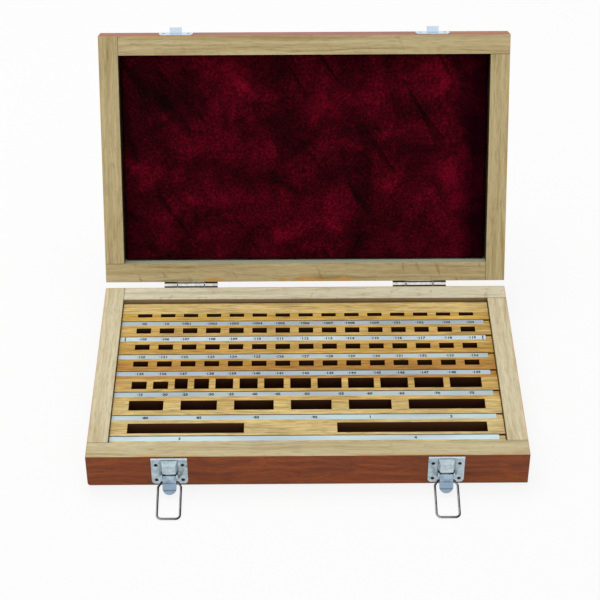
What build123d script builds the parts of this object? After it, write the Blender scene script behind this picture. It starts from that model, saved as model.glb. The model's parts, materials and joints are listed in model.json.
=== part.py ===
"""Hinged wooden case for an 81 piece set of inch gauge blocks, standing open.

X runs to the right, Y to the back and Z up. The origin is the middle of the base's underside.
Sizes are in millimetres. The lid stands open, the latch levers hang down and the wire bails lie
forward on the table.
"""
from build123d import *
from dataclasses import dataclass
import math
import os

# Tray rows, counted from the back
SMALL_SLOT = 10.7
BACK_SLOT_DEPTH = 3.8
SMALL_SLOT_DEPTH = 5.85
STEPPED_SLOT_DEPTH = 10.85
LONG_SLOT_DEPTH = 10.0
SMALL_WEB = 6.3
STEPPED_WEB = 4.5
INCH_WEB = 12.0
LONG_WEB = 64.1
END_MARGIN = 11.25
BACK_MARGIN = 12.3
FRONT_MARGIN = 5.2
STRIP_WIDTH = 5.5
STRIP_THICKNESS = 0.8
STRIP_SHORT = 4.3
STRIP_FIT = 0.1
GROOVE_DEPTH = 1.3
TRAY_THICKNESS = 19.5
TRAY_RECESS = 4.0
TRAY_FIT = 0.4
SHALLOW_SLOT = 7.9

# Base and lid frames
WALL = 14.0
BASE_PANEL = 3.5
TRAY_BOARD = 1.0
LID_HEIGHT = 22.0
LID_PANEL = 5.0
PANEL_LEDGE = 6.0
PANEL_FIT = 0.1
LID_GAP = 0.3
EDGE_ROUND = 3.0
LEFT_END_ROUND = 4.5
RIGHT_END_ROUND = 1.4
LID_OPEN_ANGLE = 112.6

# Lid lining
LINING_BOARD = 3.0
LINING_PAD = 4.2
LINING_CROWN = 0.9
LINING_EDGE = 1.4
LINING_CORNER = 2.5
LINING_FIT = 0.8

# Butt hinges
HINGE_SPACING = 172.0
HINGE_LENGTH = 40.0
MIDDLE_KNUCKLE = 20.0
BARREL_RADIUS = 2.3
HINGE_OFFSET = 2.6
HINGE_PIN_RADIUS = 1.0
LEAF_THICKNESS = 1.2
LEAF_HEIGHT = 12.5
LEAF_START = 2.2
LEAF_CORNER = 1.5
KNUCKLE_GAP = 0.3
HINGE_SCREW_SPACING = 26.0
PIN_FIT = 0.05

# Toggle latches
LATCH_SPACING = 187.4
PLATE_WIDTH = 24.6
PLATE_HEIGHT = 23.4
PLATE_DROP = 0.9
PLATE_THICKNESS = 0.8
PLATE_CORNER = 3.0
LIP_REACH = 1.9
BRIDGE_TOP_WIDTH = 8.8
BRIDGE_FOOT_WIDTH = 11.8
BRIDGE_RISE = 4.4
BRIDGE_RAMP = 2.6
PIVOT_DROP = 14.5
PIVOT_REACH = 4.2
PIVOT_PIN_RADIUS = 1.0
EAR_RADIUS = 1.9
EAR_THICKNESS = 0.8
LEVER_WIDTH = 9.0
LEVER_SHEET = 0.8
LEVER_HEAD = 2.1
LEVER_FACE = 1.8
LEVER_STRAIGHT = 4.8
TAB_WIDTH = 9.6
TAB_SLOPE_LENGTH = 4.5
TAB_SLOPE = 40.0
TAB_TIP_LENGTH = 3.2
TAB_TIP_SLOPE = 64.0
SIDE_GAP = 0.3
PIN_END = 0.3
HOLE_WALL = 0.9
BAIL_ARM = 5.95
BAIL_SETBACK = 0.8
WIRE_RADIUS = 0.8
WIRE_SIDES = 12
WIRE_FIT = 0.08
BAIL_SPREAD = 15.5
BAIL_LENGTH = 29.0
BAIL_CORNER = 3.0
BAIL_BEND = 1.2
BAIL_END = 3.2
BAIL_ELBOW = 5.6
BAIL_SHOULDER = 4.0
BAIL_FLOOR_GAP = 0.05
LATCH_SCREW_SPREAD = 18.0
LATCH_SCREW_RISE = 13.6
LATCH_SCREW_DROP = 6.3

# Catches on the lid
CATCH_WIDTH = 24.6
CATCH_HEIGHT = 12.5
CATCH_START = 2.4
CATCH_CORNER = 2.0
HOOK_WIDTH = 8.8
HOOK_LIP = 2.7
HOOK_FIT = 0.15
CATCH_SCREW_SPREAD = 18.0

# Screw holes: the hinges' are countersunk, the latches' straight
HINGE_COUNTERSINK = 2.6
HINGE_HOLE = 1.4
LATCH_HOLE = 1.3


@dataclass(frozen=True)
class SlotRow:
    """One row of slots: their widths from left to right, their depth and the web between two."""
    widths: tuple
    depth: float
    web: float
    to_strip: float
    after_strip: float

    def length(self):
        """Width of the row from its first slot to its last."""
        return sum(self.widths) + self.web * (len(self.widths) - 1)

    def edges(self):
        """Left and right side of each slot, with the row centred on X."""
        left = -self.length() / 2
        sides = []
        for width in self.widths:
            sides.append((left, left + width))
            left += width + self.web
        return sides


SMALL_ROW = (SMALL_SLOT,) * 15
STEPPED_ROW = (SMALL_SLOT, SMALL_SLOT, 9.3, 10.6, 12.6, 12.9, 14.0, 14.8, 17.2, 18.4, 19.6, 20.7, 22.5)
INCH_ROW = (24.2, 25.4, 27.7, 28.5, 29.9, 53.5)
LONG_ROW = (80.5, 103.5)
ROWS = (
    SlotRow(SMALL_ROW, BACK_SLOT_DEPTH, SMALL_WEB, 4.6, 2.9),
    SlotRow(SMALL_ROW, SMALL_SLOT_DEPTH, SMALL_WEB, 3.55, 3.75),
    SlotRow(SMALL_ROW, SMALL_SLOT_DEPTH, SMALL_WEB, 5.1, 2.4),
    SlotRow(SMALL_ROW, SMALL_SLOT_DEPTH, SMALL_WEB, 4.85, 3.15),
    SlotRow(STEPPED_ROW, STEPPED_SLOT_DEPTH, STEPPED_WEB, 2.9, 4.15),
    SlotRow(INCH_ROW, LONG_SLOT_DEPTH, INCH_WEB, 4.85, 3.35),
    SlotRow(LONG_ROW, LONG_SLOT_DEPTH, LONG_WEB, 2.45, FRONT_MARGIN),
)
SHALLOW_SLOTS = 2

# Worked out from the sizes above
TRAY_WIDTH = ROWS[1].length() + 2 * END_MARGIN
TRAY_DEPTH = BACK_MARGIN + sum(row.depth + row.to_strip + STRIP_WIDTH + row.after_strip for row in ROWS)
INNER_WIDTH = TRAY_WIDTH + 2 * TRAY_FIT
INNER_DEPTH = TRAY_DEPTH + 2 * TRAY_FIT
CASE_WIDTH = INNER_WIDTH + 2 * WALL
CASE_DEPTH = INNER_DEPTH + 2 * WALL
TRAY_FLOOR = BASE_PANEL + TRAY_BOARD
TRAY_TOP = TRAY_FLOOR + TRAY_THICKNESS
BASE_HEIGHT = TRAY_TOP + TRAY_RECESS

BASE_FLOOR = Plane.XY
HINGE_LINE = Plane(origin=(0, CASE_DEPTH / 2 + HINGE_OFFSET, BASE_HEIGHT + LID_GAP / 2))
LID_TILT = math.radians(LID_OPEN_ANGLE)
LID_FRAME = Plane(origin=HINGE_LINE.origin, x_dir=(1, 0, 0), z_dir=(0, math.sin(LID_TILT), math.cos(LID_TILT)))
LID_RIM = LID_GAP / 2
LID_MIDDLE = -(HINGE_OFFSET + CASE_DEPTH / 2)
LID_ROOF = Plane(origin=LID_FRAME.from_local_coords((0, LID_MIDDLE, LID_RIM + LID_HEIGHT)),
                 x_dir=(1, 0, 0), z_dir=-LID_FRAME.z_dir)
PLATE_TOP = BASE_HEIGHT - PLATE_DROP
PIVOT_HEIGHT = BASE_HEIGHT - PIVOT_DROP
BAIL_PIVOT_REACH = PIVOT_REACH - BAIL_SETBACK
BAIL_PIVOT_HEIGHT = PIVOT_HEIGHT - BAIL_ARM
BAIL_TILT = math.degrees(math.asin((BAIL_PIVOT_HEIGHT - WIRE_RADIUS - BAIL_FLOOR_GAP) / BAIL_LENGTH))


def save(piece, name):
    """Label a finished piece and write its file."""
    piece.label = name
    export_step(piece, f"parts/{name}.step")


def across(frame, x):
    """The plane across a frame at x: its local x runs to the frame's back, its local y up."""
    return Plane(origin=frame.from_local_coords((x, 0, 0)), x_dir=frame.y_dir, z_dir=frame.x_dir)


def block(plane, x0, x1, y0, y1, height, mode=Mode.ADD):
    """A straight block on a plane, from one corner of its footprint to the other."""
    with BuildSketch(plane) as footprint:
        with Locations(((x0 + x1) / 2, (y0 + y1) / 2)):
            Rectangle(x1 - x0, y1 - y0)
    extrude(footprint.sketch, amount=height, mode=mode)


def screw_holes(seats, sheet, radius, mouth=None):
    """Cut a round hole through the sheet at each seat, countersunk where a wider mouth is given."""
    from_face = (Align.CENTER, Align.CENTER, Align.MAX)
    for seat in seats:
        with Locations(Location(seat)):
            if mouth:
                Cone(radius, mouth, sheet, align=from_face, mode=Mode.SUBTRACT)
            else:
                Cylinder(radius, sheet, align=from_face, mode=Mode.SUBTRACT)


def footed_profile(plane, width, height, left_round, right_round):
    """A rectangle standing on the plane's local x axis, with its two lower corners rounded."""
    with BuildSketch(plane) as outline:
        with Locations((0, height / 2)):
            Rectangle(width, height)
        fillet(outline.vertices().group_by(Axis.Y)[0].sort_by(Axis.X)[0], radius=left_round)
        fillet(outline.vertices().group_by(Axis.Y)[0].sort_by(Axis.X)[-1], radius=right_round)
    return outline.sketch


def frame_ring(floor, height, panel, left_round, right_round):
    """The four walls of base or lid in one, standing on the outer face, with a rebate for the panel."""
    back = Plane(origin=floor.from_local_coords((0, CASE_DEPTH / 2, 0)), x_dir=floor.x_dir, z_dir=-floor.y_dir)
    with BuildPart() as ring:
        extrude(footed_profile(back, CASE_WIDTH, height, left_round, right_round), amount=CASE_DEPTH)
        side = footed_profile(across(floor, -CASE_WIDTH / 2), CASE_DEPTH, height, EDGE_ROUND, EDGE_ROUND)
        extrude(side, amount=CASE_WIDTH, mode=Mode.INTERSECT)
        half_x = INNER_WIDTH / 2
        half_y = INNER_DEPTH / 2
        block(floor, -half_x, half_x, -half_y, half_y, height, Mode.SUBTRACT)
        rebate_x = half_x + PANEL_LEDGE
        rebate_y = half_y + PANEL_LEDGE
        block(floor, -rebate_x, rebate_x, -rebate_y, rebate_y, panel, Mode.SUBTRACT)
    return ring.part


def member(ring, floor, height, footprint):
    """One wall of a frame: the stretch of the ring over its footprint."""
    with BuildPart() as wall:
        add(ring)
        block(floor, *footprint, height, Mode.INTERSECT)
    return wall.part


def panel_board(floor, thickness):
    """The flush board in the rebate of base or lid."""
    half_x = INNER_WIDTH / 2 + PANEL_LEDGE - PANEL_FIT
    half_y = INNER_DEPTH / 2 + PANEL_LEDGE - PANEL_FIT
    with BuildPart() as board:
        block(floor, -half_x, half_x, -half_y, half_y, thickness)
    return board.part


def latch_front(x):
    """The base's front face at a latch: local x to the right, local y up, outwards is positive."""
    return Plane(origin=(x, -CASE_DEPTH / 2, 0), x_dir=(1, 0, 0), z_dir=(0, -1, 0))


def latch_section(x):
    """The plane through a latch at x: local x outwards from the case, local y up."""
    return Plane(origin=(x, -CASE_DEPTH / 2, 0), x_dir=(0, -1, 0), z_dir=(-1, 0, 0))


def catch_front(x):
    """The lid's front face at a catch, measured up from the hinge line's height."""
    return Plane(origin=LID_FRAME.from_local_coords((x, LID_MIDDLE - CASE_DEPTH / 2, 0)),
                 x_dir=(1, 0, 0), z_dir=-LID_FRAME.y_dir)


def raised(plane, x, y, height):
    """A seat plane on a face that stands at a height above a plane."""
    return Plane(origin=plane.from_local_coords((x, y, height)), x_dir=plane.x_dir, z_dir=plane.z_dir)


def latch_seats(x):
    """Seats of the four screws of one latch plate."""
    upper = PLATE_TOP - LATCH_SCREW_DROP
    return [raised(latch_front(x), side * LATCH_SCREW_SPREAD / 2, height, PLATE_THICKNESS)
            for side in (-1, 1) for height in (upper, upper - LATCH_SCREW_RISE)]


def catch_seats(x):
    """Seats of the two screws of one catch."""
    return [raised(catch_front(x), side * CATCH_SCREW_SPREAD / 2, CATCH_START + CATCH_HEIGHT / 2, PLATE_THICKNESS)
            for side in (-1, 1)]


def leaf_face(frame, x, side):
    """The wood's back face at a hinge leaf: outwards is positive, local y runs away from the barrel."""
    return Plane(origin=frame.from_local_coords((x, -HINGE_OFFSET, side * LEAF_START)),
                 x_dir=-side * frame.x_dir, z_dir=frame.y_dir)


def hinge_seats(frame, x, side):
    """Seats of the two screws of one hinge leaf."""
    return [raised(leaf_face(frame, x, side), end * HINGE_SCREW_SPACING / 2, LEAF_HEIGHT * 0.56, LEAF_THICKNESS)
            for end in (-1, 1)]


def hinge_leaf(frame, x, side, knuckles):
    """A hinge leaf with its own knuckles round the pin; side is 1 for the lid and -1 for the base."""
    face = leaf_face(frame, x, side)
    with BuildPart() as leaf:
        with BuildSketch(face) as outline:
            with Locations((0, LEAF_HEIGHT / 2)):
                Rectangle(HINGE_LENGTH, LEAF_HEIGHT)
            fillet(outline.vertices().group_by(Axis.Y)[-1], radius=LEAF_CORNER)
        extrude(amount=LEAF_THICKNESS)
        for start, end in knuckles:
            with BuildSketch(across(frame, x + start)):
                Circle(BARREL_RADIUS)
                with Locations((LEAF_THICKNESS / 2 - HINGE_OFFSET, side * LEAF_START / 2)):
                    Rectangle(LEAF_THICKNESS, LEAF_START)
            extrude(amount=end - start)
        with BuildSketch(across(frame, x - HINGE_LENGTH / 2)):
            Circle(HINGE_PIN_RADIUS + PIN_FIT)
        extrude(amount=HINGE_LENGTH, mode=Mode.SUBTRACT)
        screw_holes(hinge_seats(frame, x, side), LEAF_THICKNESS, HINGE_HOLE, HINGE_COUNTERSINK)
    return leaf.part


def hinge_pin(x):
    """The straight pin through one hinge barrel."""
    with BuildPart() as pin:
        with BuildSketch(across(HINGE_LINE, x)):
            Circle(HINGE_PIN_RADIUS)
        extrude(amount=HINGE_LENGTH / 2, both=True)
    return pin.part


def bridge_form(x, inset):
    """The raised bridge of a latch plate, or with an inset the hollow that the press leaves behind it."""
    top = PLATE_TOP - PLATE_THICKNESS - inset
    end = PIVOT_HEIGHT + math.hypot(LEVER_HEAD, LEVER_FACE) + SIDE_GAP
    crown = PLATE_THICKNESS + BRIDGE_RISE - inset
    splay = (BRIDGE_FOOT_WIDTH - BRIDGE_TOP_WIDTH) / 2 / BRIDGE_RISE
    crown_half = BRIDGE_TOP_WIDTH / 2 + splay * inset - inset * math.hypot(1, splay)
    foot_half = crown_half + splay * (crown + inset)
    downwards = Plane(origin=(x, -CASE_DEPTH / 2, top), x_dir=(1, 0, 0), z_dir=(0, 0, -1))
    with BuildPart() as form:
        with BuildSketch(downwards):
            with BuildLine():
                Polyline((-foot_half, -inset), (-crown_half, crown), (crown_half, crown), (foot_half, -inset),
                         close=True)
            make_face()
        extrude(amount=top - end)
        with BuildSketch(latch_section(x)):
            with BuildLine():
                Polyline((-inset, top), (PLATE_THICKNESS - inset, top), (crown, top - BRIDGE_RAMP), (crown, end),
                         (-inset, end), close=True)
            make_face()
        extrude(amount=foot_half, both=True, mode=Mode.INTERSECT)
    return form.part


def latch_plate(x):
    """The pressed plate of a latch: folded lip, raised bridge and two ears for the lever's pivot."""
    front = latch_front(x)
    foot = PLATE_TOP - PLATE_HEIGHT
    half = PLATE_WIDTH / 2
    with BuildPart() as plate:
        with BuildSketch(front) as outline:
            with Locations((0, (PLATE_TOP + foot) / 2)):
                Rectangle(PLATE_WIDTH, PLATE_HEIGHT)
            fillet(outline.vertices().group_by(Axis.Y)[0], radius=PLATE_CORNER)
        extrude(amount=PLATE_THICKNESS)
        block(front, -half, half, PLATE_TOP - PLATE_THICKNESS, PLATE_TOP, LIP_REACH)
        add(bridge_form(x, 0))
        add(bridge_form(x, PLATE_THICKNESS), mode=Mode.SUBTRACT)
        for side in (-1, 1):
            ear_x = x + side * (LEVER_WIDTH / 2 + SIDE_GAP + EAR_THICKNESS / 2)
            with BuildSketch(latch_section(ear_x)):
                with Locations((PIVOT_REACH, PIVOT_HEIGHT)):
                    Circle(EAR_RADIUS)
                with Locations((PIVOT_REACH / 2, PIVOT_HEIGHT)):
                    Rectangle(PIVOT_REACH, 2 * EAR_RADIUS)
            extrude(amount=EAR_THICKNESS / 2, both=True)
        with BuildSketch(latch_section(x)):
            with Locations((PIVOT_REACH, PIVOT_HEIGHT)):
                Circle(PIVOT_PIN_RADIUS + PIN_FIT)
        extrude(amount=PLATE_WIDTH / 2, both=True, mode=Mode.SUBTRACT)
        screw_holes(latch_seats(x), PLATE_THICKNESS, LATCH_HOLE)
    return plate.part


def pivot_pin(x):
    """The pin that the lever turns on, from ear to ear."""
    with BuildPart() as pin:
        with BuildSketch(latch_section(x)):
            with Locations((PIVOT_REACH, PIVOT_HEIGHT)):
                Circle(PIVOT_PIN_RADIUS)
        extrude(amount=LEVER_WIDTH / 2 + SIDE_GAP + EAR_THICKNESS + PIN_END, both=True)
    return pin.part


def latch_lever(x):
    """The duck-bill lever: a bent sheet with two side flanges that hold the pivot and the bail."""
    slope = math.radians(TAB_SLOPE)
    tip_slope = math.radians(TAB_TIP_SLOPE)
    head = (PIVOT_REACH + LEVER_FACE, PIVOT_HEIGHT + LEVER_HEAD)
    knee = (head[0], PIVOT_HEIGHT - LEVER_STRAIGHT)
    bend = (knee[0] + TAB_SLOPE_LENGTH * math.sin(slope), knee[1] - TAB_SLOPE_LENGTH * math.cos(slope))
    tip = (bend[0] + TAB_TIP_LENGTH * math.sin(tip_slope), bend[1] - TAB_TIP_LENGTH * math.cos(tip_slope))
    drop = head[1] - tip[1]
    tab_face = Plane(origin=latch_section(x).from_local_coords((*tip, 0)), x_dir=(1, 0, 0),
                     z_dir=(0, -math.cos(tip_slope), math.sin(tip_slope)))
    with BuildPart() as lever:
        with BuildSketch(latch_section(x)):
            with BuildLine():
                front = Polyline(head, knee, bend, tip)
                offset(front, amount=LEVER_SHEET, side=Side.RIGHT, kind=Kind.INTERSECTION)
            make_face()
        extrude(amount=TAB_WIDTH / 2, both=True)
        with BuildSketch(latch_front(x)):
            with BuildLine():
                Polyline((-TAB_WIDTH / 2, tip[1] - LEVER_SHEET), (-TAB_WIDTH / 2, knee[1] - LEVER_SHEET),
                         (-LEVER_WIDTH / 2, knee[1]), (-LEVER_WIDTH / 2, head[1]), (LEVER_WIDTH / 2, head[1]),
                         (LEVER_WIDTH / 2, knee[1]), (TAB_WIDTH / 2, knee[1] - LEVER_SHEET),
                         (TAB_WIDTH / 2, tip[1] - LEVER_SHEET), close=True)
            make_face()
        extrude(amount=tip[0] + LEVER_SHEET, mode=Mode.INTERSECT)
        with BuildSketch(tab_face):
            with Locations((0, drop)):
                SlotOverall(2 * drop, TAB_WIDTH, rotation=90)
        extrude(amount=drop, both=True, mode=Mode.INTERSECT)
        for side in (-1, 1):
            with BuildSketch(latch_section(x + side * (LEVER_WIDTH - LEVER_SHEET) / 2)):
                with Locations((PIVOT_REACH, PIVOT_HEIGHT)):
                    Circle(EAR_RADIUS)
                with Locations((BAIL_PIVOT_REACH, BAIL_PIVOT_HEIGHT)):
                    Circle(WIRE_RADIUS + WIRE_FIT + HOLE_WALL)
                with Locations((head[0] - LEVER_SHEET / 2, (head[1] + knee[1]) / 2)):
                    Rectangle(LEVER_SHEET, head[1] - knee[1])
                make_hull()
            extrude(amount=LEVER_SHEET / 2, both=True)
        with BuildSketch(latch_section(x)):
            with Locations((PIVOT_REACH, PIVOT_HEIGHT)):
                Circle(PIVOT_PIN_RADIUS + PIN_FIT)
            with Locations((BAIL_PIVOT_REACH, BAIL_PIVOT_HEIGHT)):
                Circle(WIRE_RADIUS + WIRE_FIT)
        extrude(amount=LEVER_WIDTH, both=True, mode=Mode.SUBTRACT)
    return lever.part


def wire_bail(x):
    """The wire loop that hooks over the catch, lying forward with its far end on the table."""
    tilt = math.radians(BAIL_TILT)
    loop = Plane(origin=(x, -CASE_DEPTH / 2 - BAIL_PIVOT_REACH, BAIL_PIVOT_HEIGHT),
                 x_dir=(1, 0, 0), z_dir=(0, math.sin(tilt), -math.cos(tilt)))
    leg = BAIL_SPREAD / 2
    with BuildPart() as bail:
        with BuildLine(loop) as path:
            FilletPolyline((BAIL_END, 0), (BAIL_ELBOW, 0), (leg, BAIL_SHOULDER), (leg, BAIL_LENGTH),
                           (-leg, BAIL_LENGTH), (-leg, BAIL_SHOULDER), (-BAIL_ELBOW, 0), (-BAIL_END, 0),
                           radius=[BAIL_BEND, BAIL_BEND, BAIL_CORNER, BAIL_CORNER, BAIL_BEND, BAIL_BEND])
        wire = path.wire()
        with BuildSketch(Plane(origin=wire @ 0, z_dir=wire % 0)):
            RegularPolygon(WIRE_RADIUS, WIRE_SIDES)
        sweep()
    return bail.part


def lid_catch(x):
    """The catch on the lid's front: a screwed plate with an upturned hook for the bail."""
    front = catch_front(x)
    wire = BAIL_PIVOT_HEIGHT + BAIL_LENGTH - HINGE_LINE.origin.Z
    shelf = wire - WIRE_RADIUS - HOOK_FIT
    inner = BAIL_PIVOT_REACH + WIRE_RADIUS + HOOK_FIT
    outer = inner + PLATE_THICKNESS
    section = Plane(origin=front.origin, x_dir=front.z_dir, z_dir=-front.x_dir)
    with BuildPart() as catch:
        with BuildSketch(front) as outline:
            with Locations((0, CATCH_START + CATCH_HEIGHT / 2)):
                Rectangle(CATCH_WIDTH, CATCH_HEIGHT)
            fillet(outline.vertices(), radius=CATCH_CORNER)
        extrude(amount=PLATE_THICKNESS)
        with BuildSketch(section):
            with BuildLine():
                Polyline((0, shelf - PLATE_THICKNESS), (outer, shelf - PLATE_THICKNESS), (outer, shelf + HOOK_LIP),
                         (inner, shelf + HOOK_LIP), (inner, shelf), (0, shelf), close=True)
            make_face()
        extrude(amount=HOOK_WIDTH / 2, both=True)
        screw_holes(catch_seats(x), PLATE_THICKNESS, LATCH_HOLE)
    return catch.part


def tray_batten(back, before, after):
    """A long batten of the tray from its back edge, with the strip's groove if it carries one."""
    groove = STRIP_WIDTH if after is not None else 0
    depth = before + groove + (after or 0)
    with BuildPart() as batten:
        with BuildSketch(Plane.YZ.offset(-TRAY_WIDTH / 2)):
            with Locations((back - depth / 2, TRAY_FLOOR + TRAY_THICKNESS / 2)):
                Rectangle(depth, TRAY_THICKNESS)
            if groove:
                with Locations((back - before - groove / 2, TRAY_TOP - GROOVE_DEPTH / 2)):
                    Rectangle(groove, GROOVE_DEPTH, mode=Mode.SUBTRACT)
        extrude(amount=TRAY_WIDTH)
    return batten.part


def row_spacers(row, back, shallow):
    """The blocks between the slots of one row, and the fillers behind its shallow slots."""
    sides = [-TRAY_WIDTH / 2] + [x for slot in row.edges() for x in slot] + [TRAY_WIDTH / 2]
    with BuildPart() as blocks:
        for left, right in zip(sides[::2], sides[1::2]):
            block(Plane.XY.offset(TRAY_FLOOR), left, right, back - row.depth, back, TRAY_THICKNESS)
        for left, right in row.edges()[:shallow]:
            block(Plane.XY.offset(TRAY_FLOOR), left, right, back - row.depth + SHALLOW_SLOT, back, TRAY_THICKNESS)
    return blocks.part


def size_strip(back):
    """The flat aluminium strip in a batten's groove, flush at the left end and short at the right."""
    with BuildPart() as strip:
        block(Plane.XY.offset(TRAY_TOP - GROOVE_DEPTH), -TRAY_WIDTH / 2, TRAY_WIDTH / 2 - STRIP_SHORT,
              back - STRIP_WIDTH + STRIP_FIT, back - STRIP_FIT, STRIP_THICKNESS)
    return strip.part


def velvet_pad():
    """The padded velvet lining: a low crowned pad with rolled edges, on its board."""
    half_depth = INNER_DEPTH / 2 - LINING_FIT
    half_width = INNER_WIDTH / 2 - LINING_FIT
    base = LID_ROOF.offset(LID_PANEL + LINING_BOARD)
    with BuildPart() as pad:
        with BuildSketch(across(base, -half_width)):
            with BuildLine():
                Polyline((-half_depth, LINING_PAD), (-half_depth, 0), (half_depth, 0), (half_depth, LINING_PAD))
                ThreePointArc((half_depth, LINING_PAD), (0, LINING_PAD + LINING_CROWN), (-half_depth, LINING_PAD))
            make_face()
        extrude(amount=2 * half_width)
        upright = [e for e in pad.edges() if abs(e.length - LINING_PAD) < 0.01]
        fillet(upright, radius=LINING_CORNER)
        upper = [e for e in pad.edges() if base.to_local_coords(e.center()).Z > LINING_PAD * 0.9]
        fillet(upper, radius=LINING_EDGE)
    return pad.part


os.makedirs("parts", exist_ok=True)

# Base frame, its bottom board and the board under the tray
half_width = CASE_WIDTH / 2
half_depth = CASE_DEPTH / 2
hinge_places = {"left": -HINGE_SPACING / 2, "right": HINGE_SPACING / 2}
latch_places = {"left": -LATCH_SPACING / 2, "right": LATCH_SPACING / 2}

base_ring = frame_ring(BASE_FLOOR, BASE_HEIGHT, BASE_PANEL, LEFT_END_ROUND, RIGHT_END_ROUND)
inner_x = half_width - WALL
inner_y = half_depth - WALL
base_members = {
    "base_front_rail": (-half_width, half_width, -half_depth, -inner_y),
    "base_left_stile": (-half_width, -inner_x, -inner_y, half_depth),
    "base_back_rail": (-inner_x, half_width, inner_y, half_depth),
    "base_right_stile": (inner_x, half_width, -inner_y, inner_y),
}
for name, footprint in base_members.items():
    save(member(base_ring, BASE_FLOOR, BASE_HEIGHT, footprint), name)
save(panel_board(BASE_FLOOR, BASE_PANEL), "base_bottom_panel")

with BuildPart() as tray_floor:
    block(Plane.XY.offset(BASE_PANEL), -TRAY_WIDTH / 2, TRAY_WIDTH / 2, -TRAY_DEPTH / 2, TRAY_DEPTH / 2, TRAY_BOARD)
save(tray_floor.part, "tray_floor")

# Tray: battens, the blocks between the slots and the size strips
back = TRAY_DEPTH / 2
save(tray_batten(back, BACK_MARGIN, None), "tray_batten_1")
back -= BACK_MARGIN
for number, row in enumerate(ROWS, start=1):
    save(row_spacers(row, back, SHALLOW_SLOTS if number == 5 else 0), f"row_{number}_spacers")
    back -= row.depth
    save(tray_batten(back, row.to_strip, row.after_strip), f"tray_batten_{number + 1}")
    save(size_strip(back - row.to_strip), f"size_strip_{number}")
    back -= row.to_strip + STRIP_WIDTH + row.after_strip

# Lid frame and lining
lid_ring = frame_ring(LID_ROOF, LID_HEIGHT, LID_PANEL, EDGE_ROUND, EDGE_ROUND)
lid_members = {
    "lid_back_rail": (-half_width, inner_x, -half_depth, -inner_y),
    "lid_right_stile": (inner_x, half_width, -half_depth, inner_y),
    "lid_front_rail": (-inner_x, half_width, inner_y, half_depth),
    "lid_left_stile": (-half_width, -inner_x, -inner_y, half_depth),
}
for name, footprint in lid_members.items():
    save(member(lid_ring, LID_ROOF, LID_HEIGHT, footprint), name)
save(panel_board(LID_ROOF, LID_PANEL), "lid_top_panel")

with BuildPart() as lining_board:
    board_x = INNER_WIDTH / 2 - LINING_FIT
    board_y = INNER_DEPTH / 2 - LINING_FIT
    block(LID_ROOF.offset(LID_PANEL), -board_x, board_x, -board_y, board_y, LINING_BOARD)
save(lining_board.part, "lid_lining_board")
save(velvet_pad(), "lid_velvet_lining")

# Hinges, latches and catches
middle = MIDDLE_KNUCKLE / 2
end = HINGE_LENGTH / 2
for side, x in hinge_places.items():
    outer_knuckles = ((-end, -middle - KNUCKLE_GAP), (middle + KNUCKLE_GAP, end))
    save(hinge_leaf(HINGE_LINE, x, -1, outer_knuckles), f"hinge_{side}_base_leaf")
    save(hinge_leaf(LID_FRAME, x, 1, ((-middle, middle),)), f"hinge_{side}_lid_leaf")
    save(hinge_pin(x), f"hinge_{side}_pin")
for side, x in latch_places.items():
    save(latch_plate(x), f"latch_{side}_plate")
    save(pivot_pin(x), f"latch_{side}_pivot_pin")
    save(latch_lever(x), f"latch_{side}_lever")
    save(wire_bail(x), f"latch_{side}_bail")
    save(lid_catch(x), f"catch_{side}")

print(f"case {CASE_WIDTH:.1f} x {CASE_DEPTH:.1f}, base {BASE_HEIGHT:.1f}, shut {BASE_HEIGHT + LID_GAP + LID_HEIGHT:.1f}")
print(f"hinge line y {HINGE_LINE.origin.Y:.3f}, z {HINGE_LINE.origin.Z:.3f}")
print(f"lever pivot y {-half_depth - PIVOT_REACH:.3f}, z {PIVOT_HEIGHT:.3f}")
print(f"bail pivot y {-half_depth - BAIL_PIVOT_REACH:.3f}, z {BAIL_PIVOT_HEIGHT:.3f}, tilt {BAIL_TILT:.2f}")
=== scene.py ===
"""Looks for a wooden gauge block case that stands open: oak frames stained outside and bare on
their rims, a slotted tray with size strips, a velvet lining in the lid, and plated hardware.

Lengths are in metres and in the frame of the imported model: X to the right, Y to the back, Z up,
with the origin in the middle of the base's underside. A name that ends in _mm holds millimetres,
and MM turns them to metres.
"""
from __future__ import annotations

import json
import logging
import math
from dataclasses import dataclass
from enum import Enum
from functools import partial

import bmesh
import bpy
import numpy as np
from bpy.types import Material, Node, NodeSocket, NodeTree, Object
from mathutils import Matrix, Vector

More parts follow.
